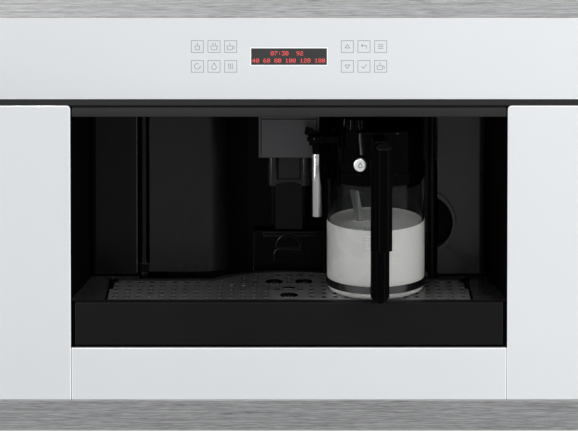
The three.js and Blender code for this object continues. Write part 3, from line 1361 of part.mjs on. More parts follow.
// The mains module: one plastic body with the inlet and the pocket of the rocker switch.
function addMains() {
  const y = CASE_REAR - SHEET;
  const half = MAINS_HALF - GAP;
  // the earth pin stands above the other two
  const rise = (x) => (x ? 0 : 3);
  const pocketX = ROCKER_X + RUN;
  const inlet = cut(
    join(
      block(MAINS_X0 + GAP, MAINS_X1 - GAP, y - 22, CASE_REAR - GAP, INLET_Z - half, INLET_Z + half),
      block(MAINS_X0 - 5, MAINS_X1 + 5, y - 3 - GAP, y - GAP, INLET_Z - half - 2.3, INLET_Z + half + 2.3),
    ),
    block(INLET_X - 11.5, INLET_X + 11.5, y - 16, CASE_REAR + 1, INLET_Z - 7.5, INLET_Z + 7.5),
    block(SWITCH_X - pocketX, SWITCH_X + pocketX, y - 16, CASE_REAR + 1, INLET_Z - 10.8, INLET_Z + 10.8),
    rod("x", y - 3, INLET_Z, ROCKER_PIN_R + GAP, SWITCH_X - pocketX - 2, SWITCH_X + pocketX + 2, 12),
  );
  const pins = [-7, 0, 7].map((x) =>
    block(INLET_X + x - 1, INLET_X + x + 1, y - 17, y - 3, INLET_Z - 2 + rise(x), INLET_Z + 2 + rise(x)),
  );
  place("power_inlet", join(inlet, ...pins), blackSatin);

  // rocker of the switch, turning on its own pin
  const rocker = groupAt(SWITCH_X, y - 3, INLET_Z);
  const side = [
    [-9, -6],
    [-9, 6],
    [1.5, 10],
    [3.6, 10],
    [2.2, 0],
    [1.2, -10],
    [-1, -10],
  ];
  const pin = rod("x", 0, 0, ROCKER_PIN_R, -pocketX - 1.5, pocketX + 1.5, 12);
  place("main_switch", join(pull("x", side, -ROCKER_X, ROCKER_X), pin), blackGloss, rocker);
}

// ---------------------------------------------------------------- works inside the casing
const worksFloor = CASE_LIFT + SHEET + GAP;

// Brew unit: frame, brewing chamber, lead screw, funnel for ground coffee and chute for spent grounds.
function addBrewUnit() {
  const cx = (BREW_X0 + BREW_X1) / 2;
  const cy = (BREW_Y0 + BREW_Y1) / 2;
  const funnelTop = CASE_TOP - SHEET - GAP;
  const w = 2;
  const grounds = pull(
    "y",
    [
      [BREW_X1 - 4, 216],
      [-24, 184],
      [-24, 196],
      [BREW_X1 - 4, 228],
    ],
    GROUNDS_Y1 - 34,
    GROUNDS_Y1,
  );
  const groundsBore = pull(
    "y",
    [
      [BREW_X1 - 2, 218],
      [-20, 185],
      [-20, 205],
      [BREW_X1 - 2, 238],
    ],
    GROUNDS_Y1 - 32,
    GROUNDS_Y1 - 2,
  );
  const funnel = cut(
    block(CHUTE_X0 - w, CHUTE_X1 + w, CHUTE_Y0 - w, CHUTE_Y1 + w, BREW_TOP - 6, funnelTop),
    block(CHUTE_X0, CHUTE_X1, CHUTE_Y0, CHUTE_Y1, BREW_TOP, funnelTop + 1),
  );
  const brew = join(
    block(BREW_X0, BREW_X1, BREW_Y0, BREW_Y1, worksFloor, worksFloor + 12),
    block(BREW_X0, BREW_X0 + 8, BREW_Y0, BREW_Y1, worksFloor, BREW_TOP),
    block(BREW_X1 - 8, BREW_X1, BREW_Y0, BREW_Y1, worksFloor, BREW_TOP),
    block(BREW_X0, BREW_X1, BREW_Y0, BREW_Y1, BREW_TOP - 8, BREW_TOP),
    block(BREW_X1 - 4, CHUTE_X1 + w, CHUTE_Y0 - 4, CHUTE_Y1 + w, BREW_TOP - 8, BREW_TOP),
    rod("z", cx, cy, 27, 120, 190, 24),
    rod("z", cx, cy, 22, 189, 235, 24),
    rod("z", cx, cy, 7, 234, BREW_TOP - 4, 12),
    rod("z", cx, cy, 12, worksFloor + 10, 121, 16),
    block(BREW_X0 + 4, BREW_X1 - 4, cy - 5, cy + 5, 130, 142),
    cut(grounds, groundsBore),
    funnel,
  );
  place("brew_unit", brew, greyPlastic);
}

// Grinder: burr housing with its motor beside it, standing on the brew unit.
function addGrinder() {
  const z = BREW_TOP + GAP;
  const motorX = GRINDER_X + MOTOR_DX;
  const grinder = join(
    rod("z", GRINDER_X, GRINDER_Y, GRINDER_R, z + 22, GRINDER_TOP, 32),
    rod("z", GRINDER_X, GRINDER_Y, 26, z, z + 23, 24),
    block(GRINDER_X - 8, motorX, GRINDER_Y - 10, GRINDER_Y + 10, z + 26, z + 40),
    rod("z", motorX, GRINDER_Y, 21, z - 18, z + MOTOR_TOP, 24),
  );
  const burrs = rod("z", GRINDER_X, GRINDER_Y, 22, GRINDER_TOP - 26, GRINDER_TOP + 1, 24);
  place("grinder", cut(grinder, burrs), castAluminium);
}

// A round pipe along a smooth line through the given points.
function pipe(points, radius, steps, sides = 8) {
  const line = new THREE.CatmullRomCurve3(
    points.map((p) => new THREE.Vector3(...p)),
    false,
    "centripetal",
  );
  const section = new THREE.Shape();
  for (let i = 0; i < sides; i++) {
    const a = (2 * Math.PI * i) / sides;
    section[i ? "lineTo" : "moveTo"](radius * Math.cos(a), radius * Math.sin(a));
  }
  section.closePath();
  return new THREE.ExtrudeGeometry(section, { steps, extrudePath: line, bevelEnabled: false });
}

// Two thermoblocks with ribs on one bracket, the pipe from the pump and the one to the brew unit.
function addBoilers() {
  const upperX = BOILER_X0 + 25;
  const upperZ = 84;
  const lowerZ = worksFloor + PUMP_RISE;
  const ribs = [184, 193, 208, 217].map((y) => rod("y", upperX, upperZ, 25, y, y + 3, 14));
  const midY = (BOILER_Y0 + BOILER_Y1) / 2;
  const brewPipe = pipe(
    [
      [upperX - 18, midY + 10, upperZ + 8],
      [52, midY + 12, 106],
      [-20, midY + 14, 112],
      [BREW_X1 + GAP, midY + 14, 112],
    ],
    PIPE_R,
    14,
  );
  const boilers = join(
    block(BOILER_X0, BOILER_X1, midY - 2, midY + 2, worksFloor, 110),
    block(BOILER_X0, BOILER_X1, BOILER_Y0 + 2, BOILER_Y1 - 2, worksFloor, worksFloor + 3),
    rod("y", upperX, upperZ, 22, BOILER_Y0, BOILER_Y1, 20),
    rod("y", PUMP_X, lowerZ, 21, BOILER_Y0, BOILER_Y1, 20),
    rod("y", PUMP_X, lowerZ, PIPE_R, BOILER_Y1 - 2, PUMP_Y0 - GAP, 8),
    brewPipe,
    ...ribs,
  );
  place("boilers", boilers, castAluminium);
}

// Vibrating pump, lying on its foot, with its outlet towards the boilers.
function addPump() {
  const z = worksFloor + PUMP_RISE;
  const pump = join(
    block(PUMP_X - 16, PUMP_X + 16, PUMP_Y0 + 22, PUMP_Y1 - 26, worksFloor, z),
    rod("y", PUMP_X, z, 22, PUMP_Y0 + 16, PUMP_Y1 - 20, 24),
    rod("y", PUMP_X, z, 9, PUMP_Y0, PUMP_Y0 + 17, 12),
    rod("y", PUMP_X, z, 7, PUMP_Y1 - 21, PUMP_Y1, 12),
  );
  place("water_pump", pump, pumpBrass);
}

// Hoses and pipes: tank to pump, boilers to the steam nozzle, brew unit to the coffee spout.
function addPlumbing() {
  const pumpZ = worksFloor + PUMP_RISE;
  const wallY = SHELF_BACK;
  const suction = join(
    rod("y", TANK_OUTLET_X, TANK_OUTLET_Z, VALVE_R, TANK_BODY_Y1 + 2, wallY + 2, 12),
    rod("y", TANK_OUTLET_X, TANK_OUTLET_Z, 9, wallY + GAP, wallY + 5, 16),
    pipe(
      [
        [TANK_OUTLET_X, wallY + 4.4, TANK_OUTLET_Z - 4],
        [TANK_OUTLET_X, wallY + 6, TANK_OUTLET_Z - 14],
        [TANK_OUTLET_X, wallY + 6, 70],
        [TANK_OUTLET_X - 12, wallY + 5, pumpZ + 4],
        [PUMP_X + 18, wallY + 2, pumpZ],
        [PUMP_X, wallY - 12, pumpZ],
        [PUMP_X, PUMP_Y1 + GAP, pumpZ],
      ],
      4,
      26,
    ),
    block(TANK_OUTLET_X - 12, TANK_OUTLET_X + 12, wallY - 2, wallY + 11, 84, 106), // flow meter
  );
  place("suction_hose", suction, greyPlastic);

  const end = JUG_Y + JUG_R;
  const upperX = BOILER_X0 + 25;
  const nozzle = join(
    rod("y", JUG_X, STEAM_Z, STEAM_PIN_R, end, JUG_WALL_Y + PANEL_T, 16),
    rod("y", JUG_X, STEAM_Z, STEAM_PIN_R + 1.2, JUG_WALL_Y + 1, JUG_WALL_Y + 30, 16),
    rod("y", JUG_X, STEAM_Z, 12, JUG_WALL_Y + PANEL_T + GAP, JUG_WALL_Y + 12, 16),
    pipe(
      [
        [upperX, BOILER_Y0 + 10, BOILER_PIPE_Z],
        [upperX, BOILER_Y0 + 8, 180],
        [upperX - 3, BOILER_Y0 + 4, 270],
        [JUG_X, JUG_WALL_Y + 48, STEAM_Z],
        [JUG_X, JUG_WALL_Y + 28, STEAM_Z],
      ],
      PIPE_R,
      20,
    ),
  );
  const bore = rod("y", JUG_X, STEAM_Z, 1.8, end - 1, JUG_WALL_Y + 26, 8);
  place("steam_nozzle", cut(nozzle, bore), chrome);

  const y = COFFEE_PIPE_Y;
  const over = LINER_TOP + LINER_T + 10;
  const coffee = join(
    rod("z", 0, y, COFFEE_PIPE_R, SPOUT_BOTTOM + 12, over - 8, 12),
    pipe(
      [
        [0, y, over - 9],
        [0, y + 1, over - 4],
        [0, y + 10, over],
        [-4, 150, over],
        [-14, 176, over - 20],
        [-26, 184, 270],
        [-50, 190, 254],
        [BREW_X1 + GAP, 190, 252],
      ],
      COFFEE_PIPE_R,
      24,
    ),
  );
  place("coffee_pipe", coffee, greyPlastic);
}

// Power board on four posts at the left side panel, with its relays and capacitors.
function addPowerBoard() {
  const x0 = -CASE_W / 2 + SHEET + GAP;
  const board = [x0 + 6, x0 + 6 + BOARD_T];
  const [y0, y1] = [POWER_BOARD_Y0, POWER_BOARD_Y0 + POWER_BOARD_D];
  const [z0, z1] = [POWER_BOARD_Z0, POWER_BOARD_Z0 + POWER_BOARD_H];
  const posts = [
    [y0 + 8, z0 + 8],
    [y1 - 8, z0 + 8],
    [y0 + 8, z1 - 8],
    [y1 - 8, z1 - 8],
  ].map(([y, z]) => rod("x", y, z, 3, x0, board[0] + 1, 8));
  const relays = [0, 1, 2].map((i) => {
    const y = y0 + 16 + i * 26;
    return block(board[1] - 1, board[1] + 15, y, y + 18, z1 - 68, z1 - 38);
  });
  const caps = [30, 65].map((y) => rod("x", y0 + y, z0 + 48, 9, board[1] - 1, board[1] + 22, 12));
  place("power_board", join(block(...board, y0, y1, z0, z1), ...posts, ...relays, ...caps), circuitGreen);
}

function addHopper() {
  const rim = CASE_TOP - SHEET - GAP;
  const throat = GRINDER_TOP + GAP;
  const neckR = 20;
  const funnel = (grow, zLow, zHigh) => {
    const steps = 24;
    const x0 = HOPPER_X0 + grow;
    const x1 = HOPPER_X1 - grow;
    const y0 = HOPPER_Y0 + grow;
    const y1 = HOPPER_Y1 - grow;
    const low = arc(GRINDER_X, GRINDER_Y, neckR - grow, 45, 405, steps).slice(0, -1);
    const corners = [
      [x1, y1],
      [x0, y1],
      [x0, y0],
      [x1, y0],
    ];
    // each side of the rectangle takes a quarter of the steps
    const high = [];
    for (let side = 0; side < 4; side++) {
      const [ax, ay] = corners[side];
      const [bx, by] = corners[(side + 1) % 4];
      for (let i = 0; i < steps / 4; i++) {
        const t = i / (steps / 4);
        high.push([ax + (bx - ax) * t, ay + (by - ay) * t]);
      }
    }
    const points = [];
    low.forEach(([x, y]) => points.push(x, y, zLow));
    high.forEach(([x, y]) => points.push(x, y, zHigh));
    points.push(GRINDER_X, GRINDER_Y, zLow, (x0 + x1) / 2, (y0 + y1) / 2, zHigh);
    const index = [];
    for (let i = 0; i < steps; i++) {
      const j = (i + 1) % steps;
      index.push(i, j, steps + j, i, steps + j, steps + i);
      index.push(2 * steps, j, i, 2 * steps + 1, steps + i, steps + j);
    }
    const made = new THREE.BufferGeometry();
    made.setAttribute("position", new THREE.Float32BufferAttribute(points, 3));
    made.setIndex(index);
    return made;
  };
  const wall = HOPPER_WALL;
  const shoulder = rim - 22;
  const outer = join(
    funnel(0, throat, shoulder),
    block(HOPPER_X0, HOPPER_X1, HOPPER_Y0, HOPPER_Y1, shoulder - 0.01, rim),
  );
  const inner = join(
    funnel(wall, throat + 0.01, shoulder + 0.5),
    block(HOPPER_X0 + wall, HOPPER_X1 - wall, HOPPER_Y0 + wall, HOPPER_Y1 - wall, shoulder, rim + 1),
    rod("z", GRINDER_X, GRINDER_Y, neckR - wall - 1, throat - 1, throat + 6, 24),
  );
  place("bean_hopper", cut(outer, inner), smokedPlastic);
}

// ---------------------------------------------------------------- runners
// Three nested C profiles a side. The outer one stands on the niche floor and is screwed to the niche wall.
function addRunners() {
  const t = RUNNER_T;
  const cz = RUNNER_Z;
  const channel = (webX, tipX, half, thick) => {
    const s = Math.sign(tipX - webX);
    return [
      [webX, cz - half],
      [tipX, cz - half],
      [tipX, cz - half + thick],
      [webX + s * thick, cz - half + thick],
      [webX + s * thick, cz + half - thick],
      [tipX, cz + half - thick],
      [tipX, cz + half],
      [webX, cz + half],
    ];
  };
  const innerWeb = caseX + GAP;
  const outerLeg = [
    [RUNNER_OUT - t, cz - RUNNER_HALF + t],
    [RUNNER_OUT - t, t],
    [FOOT_X, t],
    [FOOT_X, 0],
    [RUNNER_OUT, 0],
    [RUNNER_OUT, cz],
    [RUNNER_OUT - t, cz],
  ];
  const midHalf = RUNNER_HALF - t - BALL;
  const innerHalf = midHalf - t - BALL;
  const midWeb = RUNNER_OUT - t - GAP;
  const rail = (outline) => pull("y", outline, RUNNER_Y0, RUNNER_Y1);
  const outer = join(rail(channel(RUNNER_OUT, innerWeb + 1.6, RUNNER_HALF, t)), rail(outerLeg));
  const middle = rail(channel(midWeb, innerWeb + 2.4, midHalf, t));
  const inner = rail(channel(innerWeb, midWeb - t - GAP, innerHalf, t));
  const pair = (name, geometry) => {
    place("right_" + name, geometry, runnerZinc);
    const left = geometry.clone().scale(-1, 1, 1);
    place("left_" + name, toGeometry(toSolid(left)), runnerZinc);
  };
  pair("runner_outer", outer);
  pair("runner_middle", middle);
  pair("runner_inner", inner);
}

addTrims();
addPanes();
addFrontFrame();
addControls();
addLiner();
addBayPanels();
addServiceDoor();
addSpout();
addDripTray();
addCupGrid();
addGroundsContainer();
addWaterTank();
addMilkJug();
addCasing();
addTopFittings();
addMains();
addBrewUnit();
addGrinder();
addHopper();
addBoilers();
addPump();
addPlumbing();
addPowerBoard();
addRunners();

// The origin is the middle of the base: half way between the grip's front and the casing's back.
const turned = THREE.MathUtils.degToRad(HANDLE_TURN);
const gripCorner = GRIP_W / 4 - GRIP_SHIFT; // the grip's foremost edge, to the left of its middle
const gripFront = JUG_Y - GRIP_OUT * Math.cos(turned) - gripCorner * Math.sin(turned);
machine.position.y = -(gripFront + CASE_REAR) / 2;

export default machine;
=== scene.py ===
# %% [markdown]
# # The finish of a built-in coffee machine
# The machine is already built and packed as sixty solids. This lesson gives them their looks: white glass
# panes between brushed steel trims, a black cup bay, a milk jug of clear glass, and bright runners at the
# sides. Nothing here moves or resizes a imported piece. A piece that needs finer edges gets a copy that stands
# for it.

import json
import math

import bmesh
import bpy
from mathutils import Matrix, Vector


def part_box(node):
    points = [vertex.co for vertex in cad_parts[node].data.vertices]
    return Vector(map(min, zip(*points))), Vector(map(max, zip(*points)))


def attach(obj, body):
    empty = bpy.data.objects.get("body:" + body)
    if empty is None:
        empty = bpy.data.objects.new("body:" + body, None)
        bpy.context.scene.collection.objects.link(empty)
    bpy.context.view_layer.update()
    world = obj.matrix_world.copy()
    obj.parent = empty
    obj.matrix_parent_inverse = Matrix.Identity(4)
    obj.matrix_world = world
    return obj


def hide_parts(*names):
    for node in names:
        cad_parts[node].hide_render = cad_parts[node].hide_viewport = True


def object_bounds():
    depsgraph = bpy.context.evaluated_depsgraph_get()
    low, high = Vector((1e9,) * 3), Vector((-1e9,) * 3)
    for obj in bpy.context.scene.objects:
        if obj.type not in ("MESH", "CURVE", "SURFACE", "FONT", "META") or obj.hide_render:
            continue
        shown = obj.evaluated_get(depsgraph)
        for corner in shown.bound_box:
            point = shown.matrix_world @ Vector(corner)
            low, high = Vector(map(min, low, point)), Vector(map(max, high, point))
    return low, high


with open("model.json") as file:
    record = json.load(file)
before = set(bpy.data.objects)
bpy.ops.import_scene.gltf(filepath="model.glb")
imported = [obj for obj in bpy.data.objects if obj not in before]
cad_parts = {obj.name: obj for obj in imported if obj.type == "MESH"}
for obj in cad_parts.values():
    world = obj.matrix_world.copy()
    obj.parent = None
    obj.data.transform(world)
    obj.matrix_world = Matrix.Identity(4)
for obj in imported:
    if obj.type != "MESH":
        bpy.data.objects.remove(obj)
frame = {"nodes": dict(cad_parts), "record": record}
cad_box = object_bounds()

# %% [markdown]
# Blender works in metres and fine work is easier to read in millimetres. All places below are millimetres: x
# from the middle of the front, y behind the glass face, z above the niche floor. A Span is where a packed
# piece lies at rest, and every new piece takes its place from the Spans of the pieces round it.

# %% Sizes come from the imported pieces
MM = 0.001
GLASS_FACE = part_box("control_panel_glass")[0].y


def at(x, y, z):
    """The Blender point of a place in millimetres."""
    return Vector((x * MM, GLASS_FACE + y * MM, z * MM))


def where(point):
    """The place in millimetres of a Blender point."""
    return Vector((point.x, point.y - GLASS_FACE, point.z)) / MM


class Span:
    """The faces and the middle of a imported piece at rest, in millimetres."""

    def __init__(self, node):
        low, high = (where(corner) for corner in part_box(node))
        self.x0, self.y0, self.z0 = low
        self.x1, self.y1, self.z1 = high
        self.cx, self.cy, self.cz = (low + high) / 2
        self.width = self.x1 - self.x0


print("front", round(Span("top_trim").width, 1), "mm wide")

# %% [markdown]
# The photograph is a long lens picture from 15 degrees above. The 595 mm front gives its scale, at which a
# few millimetres of the front lie outside the picture on either side. The upright edges lean by a tenth of a
# percent only, so the camera stands a long way off.

# %% Camera
PHOTO_W = 578
MM_PER_PIXEL = 1.0172
SENSOR = 36
CAMERA_PITCH = math.radians(15)
CAMERA_DISTANCE = 18500
AIM_HEIGHT = 226.9

camera_data = bpy.data.cameras.new("photo_camera")
camera_data.sensor_width = SENSOR
camera_data.lens = SENSOR * CAMERA_DISTANCE / (PHOTO_W * MM_PER_PIXEL)
camera_data.clip_end = 400
camera = bpy.data.objects.new("photo_camera", camera_data)
bpy.context.scene.collection.objects.link(camera)
camera.location = at(
    0,
    -CAMERA_DISTANCE * math.cos(CAMERA_PITCH),
    AIM_HEIGHT + CAMERA_DISTANCE * math.sin(CAMERA_PITCH),
)
camera.rotation_euler = (math.pi / 2 - CAMERA_PITCH, 0, 0)
bpy.context.scene.camera = camera
bpy.context.scene.view_settings.view_transform = "Standard"
print("lens", round(camera_data.lens, 1), "mm; one pixel is", MM_PER_PIXEL, "mm")

# %% [markdown]
# A material is a small graph of nodes. The first helper adds a node, sets its plain values and joins its
# links, and the next ones give short names to the nodes that come again and again.

# %% Node helpers


def add(tree, kind, inputs=None, **settings):
    """A new node: settings are its own properties, and inputs are values or sockets by name or number."""
    made = tree.nodes.new(kind)
    for key, value in settings.items():
        setattr(made, key, value)
    for key, value in (inputs or {}).items():
        if isinstance(value, bpy.types.NodeSocket):
            tree.links.new(value, made.inputs[key])
        else:
            made.inputs[key].default_value = value
    return made


def object_place(tree):
    return add(tree, "ShaderNodeTexCoord").outputs["Object"]


def scaled(tree, vector, by):
    return add(tree, "ShaderNodeVectorMath", {0: vector, 1: by}, operation="MULTIPLY").outputs[0]


def noise(tree, place, scale, detail, **more):
    inputs = {"Vector": place, "Scale": scale, "Detail": detail, **more}
    return add(tree, "ShaderNodeTexNoise", inputs).outputs["Fac"]


def mixed(tree, share, first, second):
    return add(tree, "ShaderNodeMix", {0: share, 2: first, 3: second}, data_type="FLOAT").outputs[0]


def ranged(tree, value, start, end, to_start=0.0, to_end=1.0):
    """The value's range from start to end becomes the range from to_start to to_end."""
    inputs = {"Value": value, "From Min": start, "From Max": end, "To Min": to_start, "To Max": to_end}
    return add(tree, "ShaderNodeMapRange", inputs).outputs["Result"]


print("node helpers ready")

# %% [markdown]
# Effects that several materials share become node groups, built once and placed in each material with its
# own values. A group hands out only masks, values and colours: the shader always stays in the material.

# %% Group helpers


def shader_group(name, values, results, fill):
    """A node group with inputs, given as {name: default}, and outputs, given by name."""
    tree = bpy.data.node_groups.new(name, "ShaderNodeTree")
    for label, default in values.items():
        made = tree.interface.new_socket(label, in_out="INPUT", socket_type="NodeSocketFloat")
        made.default_value = default
    for label in results:
        tree.interface.new_socket(label, in_out="OUTPUT", socket_type="NodeSocketFloat")
    entry = tree.nodes.new("NodeGroupInput")
    leave = tree.nodes.new("NodeGroupOutput")
    for label, socket in fill(tree, entry.outputs).items():
        tree.links.new(socket, leave.inputs[label])
    print("group", name, "hands out", *results)
    return tree


def set_inputs(node, **values):
    """Sets plain values by the names of their sockets. An underscore stands for a space."""
    for label, value in values.items():
        node.inputs[label.replace("_", " ")].default_value = value


print("group helpers ready")

# %% [markdown]
# Brushed steel is a mirror covered in fine scratches that all run one way. Here two noises are squeezed
# across the brushing, one for the scratches and one for the broad bands that a brushing wheel leaves. One
# mask drives colour, roughness and height, as it does on the metal.

# %% Group: brushed streaks
FINE_SQUEEZE = (2.2, 90.0, 90.0)
BAND_SQUEEZE = (0.5, 26.0, 26.0)


def fill_streaks(tree, values):
    place = object_place(tree)
    fine = noise(tree, scaled(tree, place, FINE_SQUEEZE), values["Fineness"], 4.0, Roughness=0.7)
    bands = noise(tree, scaled(tree, place, BAND_SQUEEZE), values["Fineness"], 2.0)
    return {"Streak": ranged(tree, mixed(tree, 0.3, fine, bands), 0.32, 0.68)}


brushed_streaks = shader_group("brushed_streaks", {"Fineness": 24.0}, ["Streak"], fill_streaks)

# %% [markdown]
# Moulded plastic is never quite smooth: the tool leaves a fine spark-eroded grain. A Voronoi pattern,
# softened by noise, gives rounded pits of one size, which look right where plain noise looks like dust.

# %% Group: moulded grain


def fill_grain(tree, values):
    place = object_place(tree)
    cells = add(tree, "ShaderNodeTexVoronoi", {"Vector": place, "Scale": values["Grains per metre"]})
    cloud = noise(tree, place, values["Grains per metre"], 3.0)
    return {"Height": mixed(tree, 0.5, cells.outputs["Distance"], cloud), "Mask": cloud}


moulded_grain = shader_group("moulded_grain", {"Grains per metre": 1600.0}, ["Height", "Mask"], fill_grain)

# %% [markdown]
# A kitchen appliance is wiped and touched, so its gloss is uneven: wide soft patches where a cloth went, and
# small cloudy ones where a hand rested. The group hands out a roughness between two given values.

# %% Group: wiped surface


def fill_wiped(tree, values):
    place = object_place(tree)
    wide = noise(tree, place, 7.0, 2.0, Distortion=0.6)
    patches = mixed(tree, 0.35, wide, noise(tree, place, 60.0, 5.0))
    rough = ranged(tree, patches, 0.35, 0.65, values["Smooth"], values["Dull"])
    return {"Roughness": rough, "Patches": patches}


wiped_surface = shader_group(
    "wiped_surface", {"Smooth": 0.1, "Dull": 0.2}, ["Roughness", "Patches"], fill_wiped
)

# %% [markdown]
# No moulding or coating has exactly one colour, so a slow noise drifts between two tones. They stay close
# together: the eye should feel the change and not see a pattern.

# %% Group: drifting tone


def fill_drift(tree, values):
    slow = noise(tree, object_place(tree), values["Patches per metre"], 3.0, Roughness=0.55)
    return {"Tone": ranged(tree, slow, 0.3, 0.7, values["Low"], values["High"])}


drifting_tone = shader_group(
    "drifting_tone", {"Patches per metre": 9.0, "Low": 0.9, "High": 1.0}, ["Tone"], fill_drift
)

# %% [markdown]
# Every finish is one Principled shader, with groups that feed its colour, roughness and normal. This class
# holds the feeds, so that a finish reads as a short recipe.

# %% Recipe helpers


class Finish:
    """A material with one shader, whose constant values are on the shader's own sockets."""

    def __init__(self, name, color, roughness, **sockets):
        self.material = bpy.data.materials.new(name)
        self.material.use_nodes = True
        self.tree = self.material.node_tree
        self.shader = self.tree.nodes["Principled BSDF"]
        self.color = color
        set_inputs(self.shader, Base_Color=(*color, 1), Roughness=roughness, **sockets)

    def use(self, group, **values):
        """Places a group, sets its inputs and gives its outputs."""
        node = add(self.tree, "ShaderNodeGroup", node_tree=group)
        set_inputs(node, **values)
        return node.outputs

    def feed(self, label, socket):
        self.tree.links.new(socket, self.shader.inputs[label])

    def tint(self, mask, low, high=1.0):
        """Base Color is the colour times a tone between low and high, driven by a mask from 0 to 1."""
        self.feed("Base Color", scaled(self.tree, self.color, ranged(self.tree, mask, 0.0, 1.0, low, high)))

    def drift(self, patches, low):
        """Base Color drifts between the colour and a share of it, with so many patches in a metre."""
        self.tint(self.use(drifting_tone, Patches_per_metre=patches, Low=0.0, High=1.0)["Tone"], low)

    def wipe(self, smooth, dull):
        """Roughness varies between smooth and dull. The patches come back as a mask."""
        marks = self.use(wiped_surface, Smooth=smooth, Dull=dull)
        self.feed("Roughness", marks["Roughness"])
        return marks["Patches"]

    def bump(self, height, depth):
        """Normal is bumped by a height, with a depth in millimetres."""
        inputs = {"Strength": 1.0, "Distance": depth * MM, "Height": height}
        self.feed("Normal", add(self.tree, "ShaderNodeBump", inputs).outputs["Normal"])


print("recipe helpers ready")

# %% [markdown]
# The panes are white glass, a milky body under a clear hard skin, so they get a coat. A ground edge gets a
# lighter white, partly from the grinding, and a faint glow, which is a painted highlight. The steel trims take
# the brushed streaks, and plated and pressed metals only the wiped patches.

# %% Finish: panes and metals


def white_pane(name, color, glow=0.0):
    made = Finish(name, color, 0.12, IOR=1.5, Coat_Weight=1.0, Coat_Roughness=0.02, Emission_Strength=glow)
    made.drift(5.0, 0.985)
    made.wipe(0.06, 0.16)
    return made.material


def brushed_steel(name, tone, low):
    made = Finish(name, (tone, tone, tone * 1.005), 0.34, Metallic=1.0)
    streak = made.use(brushed_streaks, Fineness=26.0)["Streak"]
    made.tint(streak, low)
    made.feed("Roughness", ranged(made.tree, streak, 0.0, 1.0, 0.42, 0.26))
    made.bump(streak, 0.04)
    return made.material


def bright_metal(name, tone, smooth, dull, tint=(1.0, 1.0, 1.0)):
    made = Finish(name, tuple(tone * share for share in tint), smooth, Metallic=1.0)
    made.tint(made.wipe(smooth, dull), 0.90)
    return made.material


PANE = white_pane("white_pane", (0.80, 0.815, 0.835))
# The ground edge is a lighter white that glows a little: partly the grinding, partly a painted highlight.
GROUND_EDGE_HIGHLIGHT = white_pane("ground_glass_edge_painted_highlight", (0.93, 0.935, 0.94), 0.22)
STEEL = brushed_steel("brushed_steel", 0.76, 0.22)
# The bottom trim's steel is a darker copy of the top's: a painted shade.
STEEL_SHADED = brushed_steel("brushed_steel_painted_shade", 0.54, 0.20)
# A lighter copy of the steel for bends and faces that look up: a painted highlight.
STEEL_HIGHLIGHT = brushed_steel("brushed_steel_painted_highlight", 0.86, 0.85)
CHROME = bright_metal("chrome_plate", 0.36, 0.05, 0.10)
BUTTON = bright_metal("metallised_button", 0.80, 0.22, 0.30)
GRID = bright_metal("grid_steel", 0.50, 0.36, 0.48)
# The rims and studs are a darker copy of the grid's steel: a painted shade round holes and drains.
RIM_SHADE = bright_metal("pressed_rims_painted_shade", 0.16, 0.30, 0.40)
BAND = bright_metal("dark_band", 0.065, 0.14, 0.24)
RUNNER = bright_metal("runner_zinc", 0.62, 0.24, 0.36, (0.98, 1.0, 1.02))
BRASS = bright_metal("machined_brass", 0.66, 0.24, 0.36, (1.0, 0.80, 0.44))
print("panes and metals", len(bpy.data.materials))

# %% [markdown]
# The black plastics are very dark and reflect little, because the real bay stays nearly black in front of a
# white studio: small differences between satin and gloss carry the shapes. A few are lighter or darker copies
# of one black, which paint light, shade or a highlight, as marked where they are made. Each has a tone, a
# roughness from smooth to dull, a specular level, and a grain with so many grains in a metre and a depth in
# millimetres.

# %% Finish: plastics


def moulded(name, color, smooth, dull, specular, grains, depth, patches=11.0, low=0.82):
    made = Finish(name, color, smooth, Specular_IOR_Level=specular)
    made.drift(patches, low)
    made.wipe(smooth, dull)
    made.bump(made.use(moulded_grain, Grains_per_metre=grains)["Height"], depth)
    return made.material


def black(name, tone, *recipe):
    return moulded(name, (tone, tone, tone), *recipe)


def soft_plastic(name, color, smooth=0.4, dull=0.55, specular=0.4):
    return moulded(name, color, smooth, dull, specular, 1800.0, 0.02, 14.0, 0.9)


# The black gloss also serves as painted shade on the cup grid's hole walls and underside.
GLOSS_AND_SHADE = black("black_gloss", 0.0006, 0.08, 0.14, 0.022, 900.0, 0.004)
EDGE = black("black_gloss_edge", 0.0008, 0.10, 0.16, 0.11, 900.0, 0.004)
# A lighter black for eased edges: a painted highlight along them.
SATIN_HIGHLIGHT = black("black_satin_painted_highlight", 0.020, 0.20, 0.28, 0.55, 1800.0, 0.005)
# The deck's lighter black is a painted sheen on its faces that look up.
DECK_SHEEN = black("tray_deck_painted_sheen", 0.020, 0.20, 0.30, 0.30, 1800.0, 0.01)
BASIN = black("grounds_black", 0.0012, 0.30, 0.36, 0.035, 1600.0, 0.005)
SATIN = black("black_satin", 0.006, 0.34, 0.42, 0.16, 2200.0, 0.02)
HEADER = black("header_satin", 0.022, 0.34, 0.42, 0.20, 2200.0, 0.02)
# The cheeks' black also serves as painted shade: the recess's rear wall, the door's lowest faces, the finger
# pocket.
CHEEK_AND_SHADE = black("black_cheek_and_painted_shade", 0.0010, 0.55, 0.65, 0.03, 1800.0, 0.02)
PANEL = black("black_panel", 0.0032, 0.24, 0.34, 0.07, 2000.0, 0.012)
# The door's black is a lighter copy of the panels' black: painted light.
DOOR_LIT = black("black_door_painted_light", 0.0065, 0.24, 0.34, 0.15, 2000.0, 0.012)
FASCIA = black("black_fascia", 0.0070, 0.36, 0.46, 0.08, 2600.0, 0.02)
POST = black("black_post", 0.0030, 0.16, 0.24, 0.10, 1500.0, 0.004)
